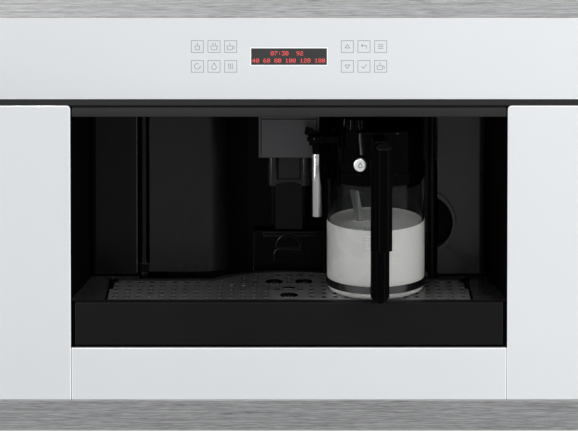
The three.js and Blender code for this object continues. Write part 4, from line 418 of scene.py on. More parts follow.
# The tank's front is a lighter copy of the panels' black: painted light.
TANK_LIT = black("tank_panel_painted_light", 0.0120, 0.26, 0.36, 0.24, 2000.0, 0.012)
BLOCK = black("spout_block", 0.006, 0.24, 0.32, 0.14, 2000.0, 0.01)
WINDOW = black("smoked_window", 0.045, 0.05, 0.09, 0.3, 800.0, 0.001)
GREY = soft_plastic("grey_plastic", (0.10, 0.105, 0.11))
INK = soft_plastic("grey_print", (0.17, 0.175, 0.185), 0.3, 0.4, 0.3)
DARK_INK = soft_plastic("dark_print", (0.03, 0.03, 0.032), 0.3, 0.4, 0.2)
WHITE_INK = soft_plastic("white_print", (0.72, 0.73, 0.74), 0.35, 0.45, 0.3)
print("materials so far", len(bpy.data.materials))

# %% [markdown]
# Clear pieces keep a plain transmission, and only their roughness varies. The jug's glass has a lower index
# than real glass: it bends and mirrors the bay less, and so stays as quiet as in the photograph. The milk's
# surface is darker than the milk, because the black lid shades it.

# %% Finish: clear pieces and milk


def clear(name, color, ior, smooth, dull):
    made = Finish(name, color, smooth, IOR=ior, Transmission_Weight=1.0)
    made.wipe(smooth, dull)
    return made.material


def fresh_milk(name, color):
    made = Finish(name, color, 0.25, Specular_IOR_Level=0.4)
    made.drift(30.0, 0.96)
    made.wipe(0.2, 0.3)
    return made.material


GLASS = clear("jug_clear_glass", (0.97, 0.985, 0.98), 1.16, 0.0, 0.02)
CLEAR = clear("clear_plastic", (0.30, 0.32, 0.33), 1.2, 0.06, 0.12)
FROSTED = clear("frosted_tube", (0.86, 0.88, 0.88), 1.35, 0.35, 0.5)
SMOKED = clear("smoked_plastic", (0.42, 0.37, 0.33), 1.49, 0.05, 0.12)
MILK = fresh_milk("milk", (0.50, 0.495, 0.475))
# The milk's surface is a darker copy of the milk: a painted shade under the black lid.
MILK_SHADE = fresh_milk("milk_surface_painted_shade", (0.40, 0.395, 0.375))
print("materials so far", len(bpy.data.materials))

# %% [markdown]
# The rest are single finishes. Galvanised sheet shows its zinc crystals, which a Voronoi pattern draws once
# it is warped a little. A casting is grainy, a board has rows of tracks, and the display's dots glow red.

# %% Finish: plate, casing, works and display


def dark_plate():
    made = Finish("dark_plate", (0.040, 0.040, 0.042), 0.35, Metallic=0.55, Specular_IOR_Level=0.3)
    made.tint(made.use(brushed_streaks, Fineness=60.0)["Streak"], 0.85)
    made.wipe(0.32, 0.42)
    return made.material


def zinc_sheet():
    made = Finish("zinc_sheet", (0.50, 0.515, 0.525), 0.4, Metallic=1.0)
    tree = made.tree
    place = object_place(tree)
    warp = add(tree, "ShaderNodeTexNoise", {"Vector": place, "Scale": 60.0, "Detail": 3.0})
    moved = add(tree, "ShaderNodeMix", {0: 0.02, 4: place, 5: warp.outputs["Color"]}, data_type="VECTOR")
    crystals = add(tree, "ShaderNodeTexVoronoi", {"Vector": moved.outputs[1], "Scale": 150.0})
    tone = add(tree, "ShaderNodeSeparateColor", {"Color": crystals.outputs["Color"]})
    made.tint(tone.outputs[0], 0.88)
    made.feed("Roughness", ranged(tree, tone.outputs[1], 0.0, 1.0, 0.32, 0.5))
    return made.material


def cast_metal():
    made = Finish("cast_metal", (0.50, 0.505, 0.51), 0.5, Metallic=0.9)
    grain = made.use(moulded_grain, Grains_per_metre=700.0)
    made.tint(grain["Mask"], 0.75)
    made.wipe(0.45, 0.62)
    made.bump(grain["Height"], 0.15)
    return made.material


def circuit_board():
    made = Finish("circuit_board", (0.02, 0.13, 0.06), 0.35)
    inputs = {"Vector": object_place(made.tree), "Scale": 60.0, "Mortar Size": 0.03}
    made.tint(add(made.tree, "ShaderNodeTexBrick", inputs).outputs["Fac"], 1.0, 1.8)
    made.wipe(0.3, 0.45)
    return made.material


def lit_dots():
    made = Finish("lit_display_dots", (0.35, 0.025, 0.02), 0.4, Emission_Strength=1.4)
    tone = made.use(drifting_tone, Patches_per_metre=60.0, Low=0.8, High=1.0)["Tone"]
    made.tint(tone, 0.9)
    made.feed("Emission Color", scaled(made.tree, (1.0, 0.10, 0.09), tone))
    return made.material


PLATE = dark_plate()
ZINC = zinc_sheet()
CAST = cast_metal()
BOARD = circuit_board()
DOTS = lit_dots()
print("materials in all", len(bpy.data.materials))

# %% [markdown]
# A piece that this lesson makes moves with the body that carries it, so each one names a imported piece that
# it is like: it rides on that piece's body, and may stand for it.

# %% Settle a piece on its body
SMOOTH_ANGLE = 32

body_of = {node: body for body, nodes in frame["record"]["behaviour"]["bodies"].items() for node in nodes}


def settle(name, mesh, like, *stands_for):
    """A new object with the mesh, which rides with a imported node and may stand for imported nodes."""
    piece = bpy.data.objects.new(name, mesh)
    bpy.context.scene.collection.objects.link(piece)
    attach(piece, body_of[like])
    if stands_for:
        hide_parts(*stands_for)
    return piece


def shade(mesh, angle):
    """Smooth shading, broken at edges sharper than the angle in degrees."""
    for face in mesh.polygons:
        face.use_smooth = True
    mesh.set_sharp_from_angle(angle=math.radians(angle))


def ease(piece, edge, segments=2, angle=SMOOTH_ANGLE):
    """Rounds the sharp edges with a bevel, edge being its width in millimetres."""
    bevel = piece.modifiers.new("eased_edges", "BEVEL")
    bevel.width = edge * MM
    bevel.segments = segments
    bevel.limit_method = "ANGLE"
    bevel.angle_limit = math.radians(angle)
    bevel.use_clamp_overlap = True
    bevel.harden_normals = True
    return bevel


# %% [markdown]
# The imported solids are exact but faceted, with hard edges. A dressed copy joins the flat triangles into
# whole faces, rounds each edge a little and smooths the round faces. Real mouldings and bent sheets have
# such small radii, and they are what catches the light. Some pieces have two finishes, and their faces are
# picked by where they are and which way they look.

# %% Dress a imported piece
WELD = 0.002 * MM
FLAT_ANGLE = math.radians(0.5)


def dressed(node, material, edge, segments=2, angle=SMOOTH_ANGLE, shine=None):
    """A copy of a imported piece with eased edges, which may have a shine of their own."""
    mesh = frame["nodes"][node].data.copy()
    work = bmesh.new()
    work.from_mesh(mesh)
    bmesh.ops.remove_doubles(work, verts=work.verts, dist=WELD)
    bmesh.ops.dissolve_limit(work, angle_limit=FLAT_ANGLE, verts=work.verts, edges=work.edges)
    work.to_mesh(mesh)
    work.free()
    mesh.materials.clear()
    mesh.materials.append(material)
    mesh.normals_split_custom_set([(0, 0, 0)] * len(mesh.loops))
    shade(mesh, angle)
    piece = settle(node + "_finished", mesh, node, node)
    bevel = ease(piece, edge, segments, angle)
    # A shine lighter than the piece paints a highlight along its eased edges.
    if shine:
        mesh.materials.append(shine)
        bevel.material = 1
    return piece


def repaint(piece, material, chosen):
    """Gives a second finish to the faces whose middle, in millimetres, and normal pass the test."""
    mesh = piece.data
    mesh.materials.append(material)
    for face in mesh.polygons:
        if chosen(where(face.center), face.normal):
            face.material_index = len(mesh.materials) - 1


print("dressing ready")

# %% [markdown]
# New pieces come from two ways of making a surface. A lathe turns a profile about an upright axis, for the
# jug and its fittings. A sweep carries a small profile along a line, for rims and printed lines. Both hand
# out points and faces, so that several runs can become one piece.

# %% Lathe and sweep


def lathe(profile, centre=(0, 0), steps=96, wave=None):
    """Turns a profile of (radius, height) pairs. A wave scales the radius by angle and height."""
    points, rings = [], []
    for radius, height in profile:
        count = steps if radius > 1e-6 else 1
        rings.append(range(len(points), len(points) + count))
        for i in range(count):
            angle = 2 * math.pi * i / steps
            out = radius * (wave(angle, height) if wave else 1)
            points.append((centre[0] + out * math.cos(angle), centre[1] + out * math.sin(angle), height))
    faces = []
    for low, high in zip(rings, rings[1:]):
        for i in range(steps):
            j = (i + 1) % steps
            corners = [low[i % len(low)], low[j % len(low)], high[j % len(high)], high[i % len(high)]]
            faces.append(list(dict.fromkeys(corners)))
    return points, [face for face in faces if len(face) > 2]


def sweep(path, profile, closed=False, up=(0, 0, 1)):
    """Carries a profile of (sideways, upwards) offsets along a path, with mitred corners."""
    up = Vector(up)
    line = [Vector(spot) for spot in path]
    count = len(line)
    runs = count if closed else count - 1
    sides = [(line[(i + 1) % count] - line[i]).cross(up).normalized() for i in range(runs)]
    points = []
    for i, spot in enumerate(line):
        before = sides[i - 1] if closed or i else sides[0]
        after = sides[i % runs] if closed or i < runs else sides[-1]
        out = (before + after) / (1 + before.dot(after))
        points += [spot + out * across + up * rise for across, rise in profile]
    n = len(profile)
    faces = []
    for i in range(runs):
        here, there = i * n, ((i + 1) % count) * n
        faces += [[here + k, here + (k + 1) % n, there + (k + 1) % n, there + k] for k in range(n)]
    if not closed:
        faces += [list(range(n)), list(range(runs * n, runs * n + n))]
    return points, faces


print("lathe and sweep ready")

# %% [markdown]
# Most of what is printed or stuck on this machine is a thin band on a face that looks to the front. Arcs
# serve as profiles and as rings that lie flat. `build` joins runs of points and faces into one piece on its
# body.

# %% Bands, arcs and building
JOIN = 0.001 * MM


def band(path, width, rise, closed=False, sink=0.0):
    """A thin band along a path on a face that looks to the front."""
    half = width / 2
    profile = [(-half, -sink), (half, -sink), (half, rise), (-half, rise)]
    return sweep(path, profile, closed, up=(0, -1, 0))


def arc(cx, cy, radius, start, end, steps=6):
    """Points on an arc from one angle to another, in degrees."""
    angles = [math.radians(start + (end - start) * i / steps) for i in range(steps + 1)]
    return [(cx + radius * math.cos(a), cy + radius * math.sin(a)) for a in angles]


def ring(x, y, z, radius, steps):
    """Points on a circle that lies flat."""
    return [(a, b, z) for a, b in arc(x, y, radius, 0, 360, steps)[:-1]]


def build(name, runs, material, like, *stands_for, angle=SMOOTH_ANGLE):
    """One new piece from runs of points, in millimetres, and faces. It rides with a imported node."""
    points, faces = [], []
    for more_points, more_faces in runs:
        faces += [[corner + len(points) for corner in face] for face in more_faces]
        points += more_points
    mesh = bpy.data.meshes.new(name)
    mesh.from_pydata([at(*point) for point in points], [], faces)
    mesh.materials.append(material)
    work = bmesh.new()
    work.from_mesh(mesh)
    bmesh.ops.remove_doubles(work, verts=work.verts, dist=JOIN)
    bmesh.ops.recalc_face_normals(work, faces=work.faces)
    work.to_mesh(mesh)
    work.free()
    shade(mesh, angle)
    return settle(name, mesh, like, *stands_for)


def rebuilt(node, shape, material, angle=SMOOTH_ANGLE):
    """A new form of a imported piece, which stands for it."""
    build(node + "_finished", [shape], material, node, node, angle=angle)


print("shape helpers ready")

# %% [markdown]
# The front is glass bonded to a black moulding. Each pane has a ground bevel all round, lighter than its face:
# partly because the grinding scatters the light, and partly a painted highlight with a faint glow. The steel
# trims are bent from sheet. Their bends and the bottom trim's faces that look up get a lighter steel, a
# painted highlight, and the bottom trim is a darker copy of the top's steel, a painted shade.

# %% Dress the front
TRIM_BEND = 0.7
LEVEL = 0.7  # a face whose normal rises more than this is nearly level
FRONTWARD = -0.3
BEVEL_LOOK = (-0.98, -0.2)  # how far a ground bevel looks to the front

top = Span("top_trim")
top_trim = dressed("top_trim", STEEL, 0.35)
# The top trim's bend takes the lighter steel: a painted highlight.
repaint(top_trim, STEEL_HIGHLIGHT, lambda spot, n: spot.z > top.z1 - TRIM_BEND and n.y < FRONTWARD)
# The bottom trim is the darker steel, a painted shade; its lower bend and faces that look up take the lighter
# steel, a painted highlight.
bottom_trim = dressed("bottom_trim", STEEL_SHADED, 0.35)
repaint(bottom_trim, STEEL_HIGHLIGHT, lambda spot, n: n.z > LEVEL or spot.z < TRIM_BEND and n.y < FRONTWARD)
# Each pane's bevel takes the lighter, glowing edge finish: partly the grinding, partly a painted highlight.
for name in ("control_panel_glass", "right_column_glass", "left_column_glass", "lower_panel_glass"):
    pane = dressed(name, PANE, 0.15)
    repaint(pane, GROUND_EDGE_HIGHLIGHT, lambda spot, n: BEVEL_LOOK[0] < n.y < BEVEL_LOOK[1])
dressed("display_window", WINDOW, 0.3)
dressed("front_frame", HEADER, 0.4)
dressed("header_bar", HEADER, 0.8, 3)
dressed("touch_display_board", BOARD, 0.2)
print("bright bend", TRIM_BEND, "mm high")

# %% [markdown]
# The keys are printed under the glass: thin grey squares, each with a small sign for what it does. The signs
# are lines in a square of one unit, so that one size scales them all. Curve objects would do, but a list of
# corners is shorter and easier to change.

# %% Signs for the keys


def cup(x, width):
    """A cup seen from the side."""
    left, right, foot = x - width / 2, x + width / 2, width / 2 * 0.75
    return [(left, 0.05), (x - foot, -0.28), (x + foot, -0.28), (right, 0.05), (left, 0.05)]


def steam(x, foot=0.12, height=0.2):
    return [(x + 0.03 * math.sin(step * math.pi / 2), foot + height * step / 4) for step in range(5)]


SMALL_CUP = [cup(0, 0.4), steam(0)]
LARGE_CUP = [cup(0, 0.56), steam(-0.1), steam(0.1)]
HANDLED_CUP = [cup(-0.06, 0.5), arc(0.22, -0.1, 0.1, 80, -80), steam(-0.06)]
TURN = [arc(0, 0, 0.24, 60, 340, 14), [(0.13, -0.03), (0.24, -0.08), (0.31, 0.04)]]
DROP = [(0, 0.3), *arc(0, -0.08, 0.19, 150, 390, 12), (0, 0.3)]
STEAM_SIGN = [steam(x, -0.25, 0.5) for x in (-0.16, 0, 0.16)]
UP = [[(-0.2, -0.12), (0, 0.18), (0.2, -0.12), (-0.2, -0.12)]]
DOWN = [[(x, -z) for x, z in UP[0]]]
BACK = [[(0.2, -0.2), (0.2, 0.08), (-0.22, 0.08)], [(-0.1, 0.2), (-0.22, 0.08), (-0.1, -0.04)]]
LIST = [[(-0.22, z), (0.22, z)] for z in (-0.16, 0, 0.16)]
TICK = [[(-0.2, 0.0), (-0.05, -0.17), (0.22, 0.18)]]

SIGN_ROWS = (
    {-3: SMALL_CUP, -2: LARGE_CUP, -1: HANDLED_CUP, 1: UP, 2: BACK, 3: LIST},
    {-3: TURN, -2: [DROP], -1: STEAM_SIGN, 1: DOWN, 2: TICK, 3: HANDLED_CUP},
)
print("signs", sum(len(row) for row in SIGN_ROWS))

# %% [markdown]
# A print is a flat line with a real width, so each line becomes a thin band on the glass. All of them are
# one piece, because they are one print.

# %% Print the keys
KEY_SIZE = 12.3
KEY_FIRST_X = 59.2
KEY_PITCH = 16.9
KEY_ROWS = (404.4, 383.6)
KEY_LINE = 0.45
INK_W = 0.5
INK_T = 0.03


def printed(line, width=INK_W, closed=False):
    """A printed line on the glass face through (x, z) places."""
    return band([(x, 0, z) for x, z in line], width, INK_T, closed)


def frame_line(x0, z0, x1, z1):
    return [(x0, z0), (x1, z0), (x1, z1), (x0, z1)]


prints = []
half = KEY_SIZE / 2
for z, signs in zip(KEY_ROWS, SIGN_ROWS):
    for column, sign in signs.items():
        x = math.copysign(KEY_FIRST_X + (abs(column) - 1) * KEY_PITCH, column)
        prints.append(printed(frame_line(x - half, z - half, x + half, z + half), KEY_LINE, True))
        for line in sign:
            prints.append(printed([(x + u * KEY_SIZE, z + v * KEY_SIZE) for u, v in line]))
build("key_prints", prints, INK, "control_panel_glass")
print("printed lines", len(prints))

# %% [markdown]
# The display is a row of dots behind smoked glass, two lines of twenty signs. A real one is a dot matrix, so
# each number is spelled from a five by seven pattern, and each lit dot is a small tile of its own.

# %% Numbers on the display
DOT_PITCH = 0.62
DOT_SIZE = 0.5
DOT_RISE = 0.04
SIGN_DOTS = 6
LINE_SIGNS = 20
TEXT_TOP = 5.2  # from the window's middle up to the first row of dots
LINE_PITCH = 7.6
LINES = ("     07:30  92", "40 60 80 100 120 180")
PATTERNS = {
    "0": "01110 10001 10011 10101 11001 10001 01110",
    "1": "00100 01100 00100 00100 00100 00100 01110",
    "2": "01110 10001 00001 00110 01000 10000 11111",
    "3": "11111 00010 00100 00010 00001 10001 01110",
    "4": "00010 00110 01010 10010 11111 00010 00010",
    "6": "00110 01000 10000 11110 10001 10001 01110",
    "7": "11111 00001 00010 00100 01000 01000 01000",
    "8": "01110 10001 10001 01110 10001 10001 01110",
    "9": "01110 10001 10001 01111 00001 00010 01100",
    ":": "00000 00100 00100 00000 00100 00100 00000",
}

window = Span("display_window")
text_left = window.cx - LINE_SIGNS / 2 * SIGN_DOTS * DOT_PITCH


def lit_dot(line, place, row, column):
    """The tile of one dot, counted from the upper left of a sign on a line."""
    x = text_left + (place * SIGN_DOTS + column + 0.5) * DOT_PITCH
    z = window.cz + TEXT_TOP - line * LINE_PITCH - row * DOT_PITCH
    return band([(x - DOT_SIZE / 2, window.y0, z), (x + DOT_SIZE / 2, window.y0, z)], DOT_SIZE, DOT_RISE)


tiles = []
for number, text in enumerate(LINES):
    for place, sign in enumerate(text):
        for row, bits in enumerate(PATTERNS.get(sign, "").split()):
            tiles += [lit_dot(number, place, row, column) for column, bit in enumerate(bits) if bit == "1"]
build("display_dots", tiles, DOTS, "display_window")
print("lit dots", len(tiles))

# %% [markdown]
# Where the smoked window meets the white glass, the photograph shows a fine light line: the ground edge of
# the cut. It is drawn in the lighter, glowing edge finish, which is a painted highlight.

# %% Edge round the display
WINDOW_EDGE_W = 0.9

window_edge = printed(frame_line(window.x0, window.z0, window.x1, window.z1), WINDOW_EDGE_W, True)
build("display_rim", [window_edge], GROUND_EDGE_HIGHLIGHT, "control_panel_glass")
print("window", round(window.width, 1), "mm wide")

# %% [markdown]
# The bay is all black, and only its finish tells one piece from the next. The cheeks swallow the light, and
# the wall behind the spout and the door's lowest faces take their black as a painted shade. The hung panels
# have a soft sheen, the door is a lighter copy of their black, a painted light, and a lighter black along
# their edges is a painted glint. The posts are polished.

# %% Dress the cup bay
RECESS_WALL = 4
DOOR_FOOT = 8
SQUARE_FRONT = -0.9

dressed("cavity_liner", CHEEK_AND_SHADE, 0.4)
dressed("left_fixed_panel", PANEL, 0.8, 3, shine=SATIN_HIGHLIGHT)
dressed("left_post", POST, 0.5, 3)
dressed("right_inner_panel", PANEL, 0.4)
# The rear wall of the spout's recess gets the cheeks' black: a painted shade.
wall_y = Span("recess_back").y1 - RECESS_WALL
repaint(dressed("recess_back", PANEL, 0.4), CHEEK_AND_SHADE, lambda spot, n: spot.y > wall_y)
# The door is the lighter black, painted light; its lowest faces get the cheeks' black, a painted shade above
# the tray.
foot_z = Span("service_door").z0 + DOOR_FOOT
repaint(dressed("service_door", DOOR_LIT, 0.6, 3, shine=SATIN_HIGHLIGHT), CHEEK_AND_SHADE, lambda spot, n: spot.z < foot_z)
repaint(dressed("spout_cover", PLATE, 0.5), GLOSS_AND_SHADE, lambda spot, n: n.y < SQUARE_FRONT)
dressed("spout_carriage", BLOCK, 0.5, 3, shine=SATIN_HIGHLIGHT)
print("recess wall at", round(wall_y, 1), "door foot below", round(foot_z, 1))

# %% [markdown]
# The spout's cover has a thin metal plate on its front, with a fine dark seam a little below the top, and a
# narrow strip at each side that catches the light. They are bands with eased edges, laid on the cover's
# glossy front.

# %% Plate and strips of the spout
PLATE_T = 0.35
PLATE_SIDE = 3.0
PLATE_SEAM = 12.2  # from the cover's top to the seam
SEAM_W = 0.9
PLATE_LOW = 0.5
PLATE_HIGH = 0.6
PLATE_EDGE = 0.12
STRIP = (0.4, 2.1)  # the strips' sides, from the edge of the cover

cover = Span("spout_cover")
plate_sides = (cover.x0 + PLATE_SIDE, cover.x1 - PLATE_SIDE)
plate_foot = cover.z0 + PLATE_LOW
plate_top = cover.z1 - PLATE_HIGH
seam = cover.z1 - PLATE_SEAM
sheets = {
    "spout_plate": (*plate_sides, plate_foot, seam),
    "spout_plate_top": (*plate_sides, seam + SEAM_W, plate_top),
    "spout_strip_left": (cover.x0 + STRIP[0], cover.x0 + STRIP[1], plate_foot, plate_top),
    "spout_strip_right": (cover.x1 - STRIP[1], cover.x1 - STRIP[0], plate_foot, plate_top),
}
for name, (x0, x1, z0, z1) in sheets.items():
    middle = (z0 + z1) / 2
    sheet = band([(x0, cover.y0, middle), (x1, cover.y0, middle)], z1 - z0, PLATE_T)
    ease(build(name, [sheet], PLATE, "spout_cover"), PLATE_EDGE)
print("spout plate", round(plate_sides[1] - plate_sides[0], 1), "mm wide")

# %% [markdown]
# The tray's front is a satin moulding. Behind its lip, the deck that looks up gets a lighter black, a painted
# sheen, and what lies lower is glossy black. The cup grid is steel on its face only: its hole walls and
# underside get the glossy black, a painted shade that keeps its holes dark.

# %% Dress the tray
LIP_DEPTH = 9.3
DECK_DEPTH = 0.7
UPWARD = 0.5  # a face whose normal rises less than this looks sideways or down

fascia = Span("tray_fascia")
lip_y = fascia.y0 + LIP_DEPTH
deck_z = fascia.z1 - DECK_DEPTH
dressed("drip_tray", GLOSS_AND_SHADE, 0.5)
tray_front = dressed("tray_fascia", FASCIA, 0.9, 3, shine=SATIN_HIGHLIGHT)
# The deck's faces that look up take the lighter black: a painted sheen.
repaint(tray_front, DECK_SHEEN, lambda spot, n: spot.y > lip_y and n.z > LEVEL and spot.z > deck_z)
repaint(tray_front, GLOSS_AND_SHADE, lambda spot, n: spot.y > lip_y and spot.z <= deck_z)
# The grid's faces that don't look up take the black gloss: a painted shade in its holes.
repaint(dressed("cup_grid", GRID, 0.15), GLOSS_AND_SHADE, lambda spot, n: n.z < UPWARD)
dressed("grounds_container", BASIN, 0.6, 3, shine=SATIN_HIGHLIGHT)
print("deck behind", round(lip_y, 1), "above", round(deck_z, 1))

# %% [markdown]
# The cup grid is pressed steel. Each hole is pushed up into a low rim, and the front slope of that rim is
# what shines in the photograph. The columns of holes close in a little towards the back, and none stands
# where a drain is. The rims in the milk jug's path stay low, so that the jug slides over them.

# %% Rims of the cup grid
GRID_FAN = 0.00027  # how much the columns close in for each millimetre of depth
GRID_END = 5
GRID_BACK = 86
GRID_MARGIN = 2
HOLE_R = 2.5
HOLE_PITCH_X = 11.87
HOLE_PITCH_Y = 14.05
HOLE_FIRST_Y = 23.9
HOLE_ROWS = 7
BULGE_Y = 17
BULGE_R = 112
BULGE_COLUMNS = 4
BULGE_RIM = 13.5
DRAIN_R = 9
DRAINS = ((-15.2, 83.4), (15.2, 83.4), (0, 30.5))
DRAIN_MARGIN = 3
SLOT_Y = 60
SLOT_HALF = 2.6
SLOT_R = 3.4
SLOT_MARGIN = 5
RIM_HEIGHT = 0.32
LOW_RIM = 0.2
JUG_LANE = 3  # the low rims reach this far past each side of the jug

grid = Span("cup_grid")
glass = Span("jug_glass")


def pressed(x, path):
    """A pressed rim along the edge of a hole, its profile going outwards."""
    in_lane = glass.x0 - JUG_LANE < x < glass.x1 + JUG_LANE
    high = LOW_RIM if in_lane else RIM_HEIGHT
    profile = [(0, -0.1), (0, high * 0.8), (0.15, high), (0.3, high * 0.85), (0.75, 0), (0.75, -0.1)]
    return sweep(path, profile, True)


def is_hole(x, y, column):
    in_bar = y < GRID_BACK - HOLE_R - GRID_MARGIN
    in_bulge = abs(column) <= BULGE_COLUMNS and math.hypot(x, y - BULGE_Y) < BULGE_R - BULGE_RIM
    at_drain = any(math.hypot(x - a, y - b) < DRAIN_R + HOLE_R + DRAIN_MARGIN for a, b in DRAINS)
    at_slot = math.hypot(x, y - SLOT_Y) < SLOT_HALF + SLOT_R + HOLE_R + SLOT_MARGIN
    return (in_bar or in_bulge) and not (at_drain or at_slot)


hole_rims = []
columns = int((grid.x1 - GRID_END) // HOLE_PITCH_X)
for column in range(-columns, columns + 1):
    for row in range(HOLE_ROWS):
        y = HOLE_FIRST_Y + row * HOLE_PITCH_Y
        x = column * HOLE_PITCH_X * (1 - GRID_FAN * (y - grid.y0))
        if is_hole(x, y, column):
            hole_rims.append(pressed(x, ring(x, y, grid.z1, HOLE_R, 20)))
# The hole rims take the darker steel: a painted shade round each hole.
build("hole_rims", hole_rims, RIM_SHADE, "cup_grid", angle=60)
print("rims", len(hole_rims))

# %% [markdown]
# Three drains and a short slot let the water through. Each drain is a dished cup with a strainer plate and a
# circle of small studs. All of them are turned about the drain's own axis.

# %% Drains and slot
RIM_INSET = 0.2
CUP_PROFILE = ((-0.3, 0.3), (-1.5, -2.6), (-1.9, -2.6), (-0.6, 0.1), (-0.3, 0.3))  # from the drain's edge
STRAINER_INSET = 1.8
STRAINER_DROP = 3.2
STRAINER_T = 0.7
STUD_PROFILE = ((0, -2.5), (0.8, -2.5), (0.6, -2.0), (0, -1.8))
STUD_CIRCLE = 4.6
STUDS = 8

floor_z = grid.z1 - STRAINER_DROP
plate_r = DRAIN_R - STRAINER_INSET
cup_wall = [(DRAIN_R + out, grid.z1 + up) for out, up in CUP_PROFILE]
plate = [(0, floor_z), (plate_r, floor_z), (plate_r, floor_z + STRAINER_T), (0, floor_z + STRAINER_T)]
stud = [(radius, grid.z1 + up) for radius, up in STUD_PROFILE]

drain_rims, cups, strainers, studs = [], [], [], []
for x, y in DRAINS:
    drain_rims.append(pressed(x, ring(x, y, grid.z1, DRAIN_R - RIM_INSET, 40)))
    cups.append(lathe(cup_wall, (x, y), 40))
    strainers.append(lathe(plate, (x, y), 32))
    studs += [lathe(stud, spot, 12) for spot in arc(x, y, STUD_CIRCLE, 0, 360, STUDS)[:-1]]
slot_line = arc(SLOT_HALF, SLOT_Y, SLOT_R, -90, 90, 10) + arc(-SLOT_HALF, SLOT_Y, SLOT_R, 90, 270, 10)
drain_rims.append(pressed(0, [(x, y, grid.z1) for x, y in slot_line]))
# The drain rims and the studs take the darker steel too: a painted shade.
build("drain_rims", drain_rims, RIM_SHADE, "cup_grid", angle=60)
build("drain_cups", cups, GLOSS_AND_SHADE, "cup_grid", angle=60)
build("drain_strainers", strainers, GLOSS_AND_SHADE, "cup_grid")
build("strainer_studs", studs, RIM_SHADE, "cup_grid", angle=60)
print("drains", len(DRAINS), "studs", len(studs))

# %% [markdown]
# The jug is blown glass with thin walls, so it needs a smooth round form more than anything else on the
# machine: a faceted cylinder would show at once. Its profile is turned with 128 steps. Extra rings near the
# ends of the straight walls keep the shading of the corners out of the walls.

# %% The jug's glass
JUG_STEPS = 128
GLASS_WALL = 2.6
CORNER_R = 8
INNER_CORNER_R = 7
LIP_RINGS = (3.5, 1.9)  # below the mouth
CORNER_RINGS = (0.6, 2.0)  # above the outer corner
INNER_RINGS = (14, 12.4)  # above the foot

axis = (glass.cx, glass.cy)
jug_r = glass.width / 2
inner_r = jug_r - GLASS_WALL
base = glass.z0
lip = GLASS_WALL / 2


def corner(radius):
    """The round corner between the jug's foot and its wall."""
    return arc(jug_r - CORNER_R, base + CORNER_R, radius, -85, 0)


def uprights(radius, *heights):
    return [(radius, height) for height in heights]


wall_foot = [base + CORNER_R + up for up in CORNER_RINGS]
wall_head = [glass.z1 - down for down in LIP_RINGS]
outside = [(0, base + 1.4), (30, base + 1.4), (33, base), (jug_r - CORNER_R, base), *corner(CORNER_R)]
outside += uprights(jug_r, *wall_foot, *wall_head)
mouth = arc(jug_r - lip, glass.z1 - lip, lip, 0, 180)
inside = uprights(inner_r, *reversed(wall_head), *[base + up for up in INNER_RINGS])
inside += [*arc(inner_r - INNER_CORNER_R, base + 11.6, INNER_CORNER_R, 0, -90), (0, base + 4.6)]
rebuilt("jug_glass", lathe([*outside, *mouth, *inside], axis, JUG_STEPS), GLASS, 60)
print("jug radius", round(jug_r, 1), "mm")

# %% [markdown]
# The milk is turned from the same wall, a tenth of a millimetre into the glass, so that no film of air lies
# between them. At its top it climbs the glass a little, as any liquid does.

# %% The milk
MILK_TOP = 207
MILK_CLIMB = 1.6
INTO_GLASS = 0.1
MILK_CORNER_R = 7.1

milk_r = inner_r + INTO_GLASS
milk_foot = [(0, base + 2.3), (29, base + 2.3), (34, base + 0.9), *corner(MILK_CORNER_R)]
milk_wall = uprights(milk_r, *wall_foot, MILK_TOP, MILK_TOP + MILK_CLIMB)
milk_skin = [(milk_r - 0.8, MILK_TOP + 0.5), (milk_r - 3, MILK_TOP), (14, MILK_TOP + 0.1), (0, MILK_TOP)]
poured = lathe(milk_foot + milk_wall + milk_skin, axis, JUG_STEPS)
milk = build("milk", [poured], MILK, "jug_glass", angle=60)
# The milk's faces that look up take the darker milk: a painted shade.
repaint(milk, MILK_SHADE, lambda spot, n: n.z > UPWARD)
print("milk up to", MILK_TOP, "mm")

# %% [markdown]
# The pick-up tube leans from the lid to the foot of the jug, and the milk rises round it in a small ripple.
# The ripple's place follows from how far down the leaning stretch the surface is.

# %% Pick-up tube and ripple
TUBE_BEND = 23  # from the tube's top to where it starts to lean
TUBE_TOP_X = -24
TUBE_LEAN = (20, 4)
RIPPLE = ((5.2, 0), (6.0, 0.6), (7.4, 0.7), (8.6, 0.2), (9.0, -0.2), (5.2, -0.2), (5.2, 0))

tube = Span("milk_intake_tube")
dressed("milk_intake_tube", FROSTED, 0.2)
bend_z = tube.z1 - TUBE_BEND
lean_share = (bend_z - MILK_TOP) / (bend_z - tube.z0)
ripple_at = (axis[0] + TUBE_TOP_X + TUBE_LEAN[0] * lean_share, axis[1] + TUBE_LEAN[1] * lean_share)
ripple = [(radius, MILK_TOP + up) for radius, up in RIPPLE]
build("milk_ripple", [lathe(ripple, ripple_at, 40)], MILK, "jug_glass", angle=60)
print("tube meets the milk at", [round(place, 1) for place in ripple_at])

# %% [markdown]
# A short white scale is printed on the jug's front. Its marks follow the round wall, so their lines run
# along an arc just outside the glass.

# %% Scale on the jug
MARK_LEFT = -10
MARK_L = 4.8
MARK_W = 0.6
MARK_T = 0.05
MARK_SINK = 0.02
MARK_STEPS = 6
MARKS = ((191.0, 1.0), (194.0, 0.5), (197.0, 0.75), (200.0, 0.5), (203.0, 1.0))  # height, share of the length


def round_mark(z, length):
    across = [MARK_LEFT + length * step / MARK_STEPS for step in range(MARK_STEPS + 1)]
    path = [(axis[0] + x, axis[1] - math.sqrt(jug_r**2 - x**2), z) for x in across]
    return band(path, MARK_W, MARK_T, sink=MARK_SINK)


build("jug_scale", [round_mark(z, MARK_L * share) for z, share in MARKS], WHITE_INK, "jug_glass")
print("marks", len(MARKS))

# %% [markdown]
# The lid, the handle and the grip keep their packed forms, with rounder edges that shine where a hand has
# rubbed them. The foot band is a thin ring with small rounded corners, so it is turned anew.

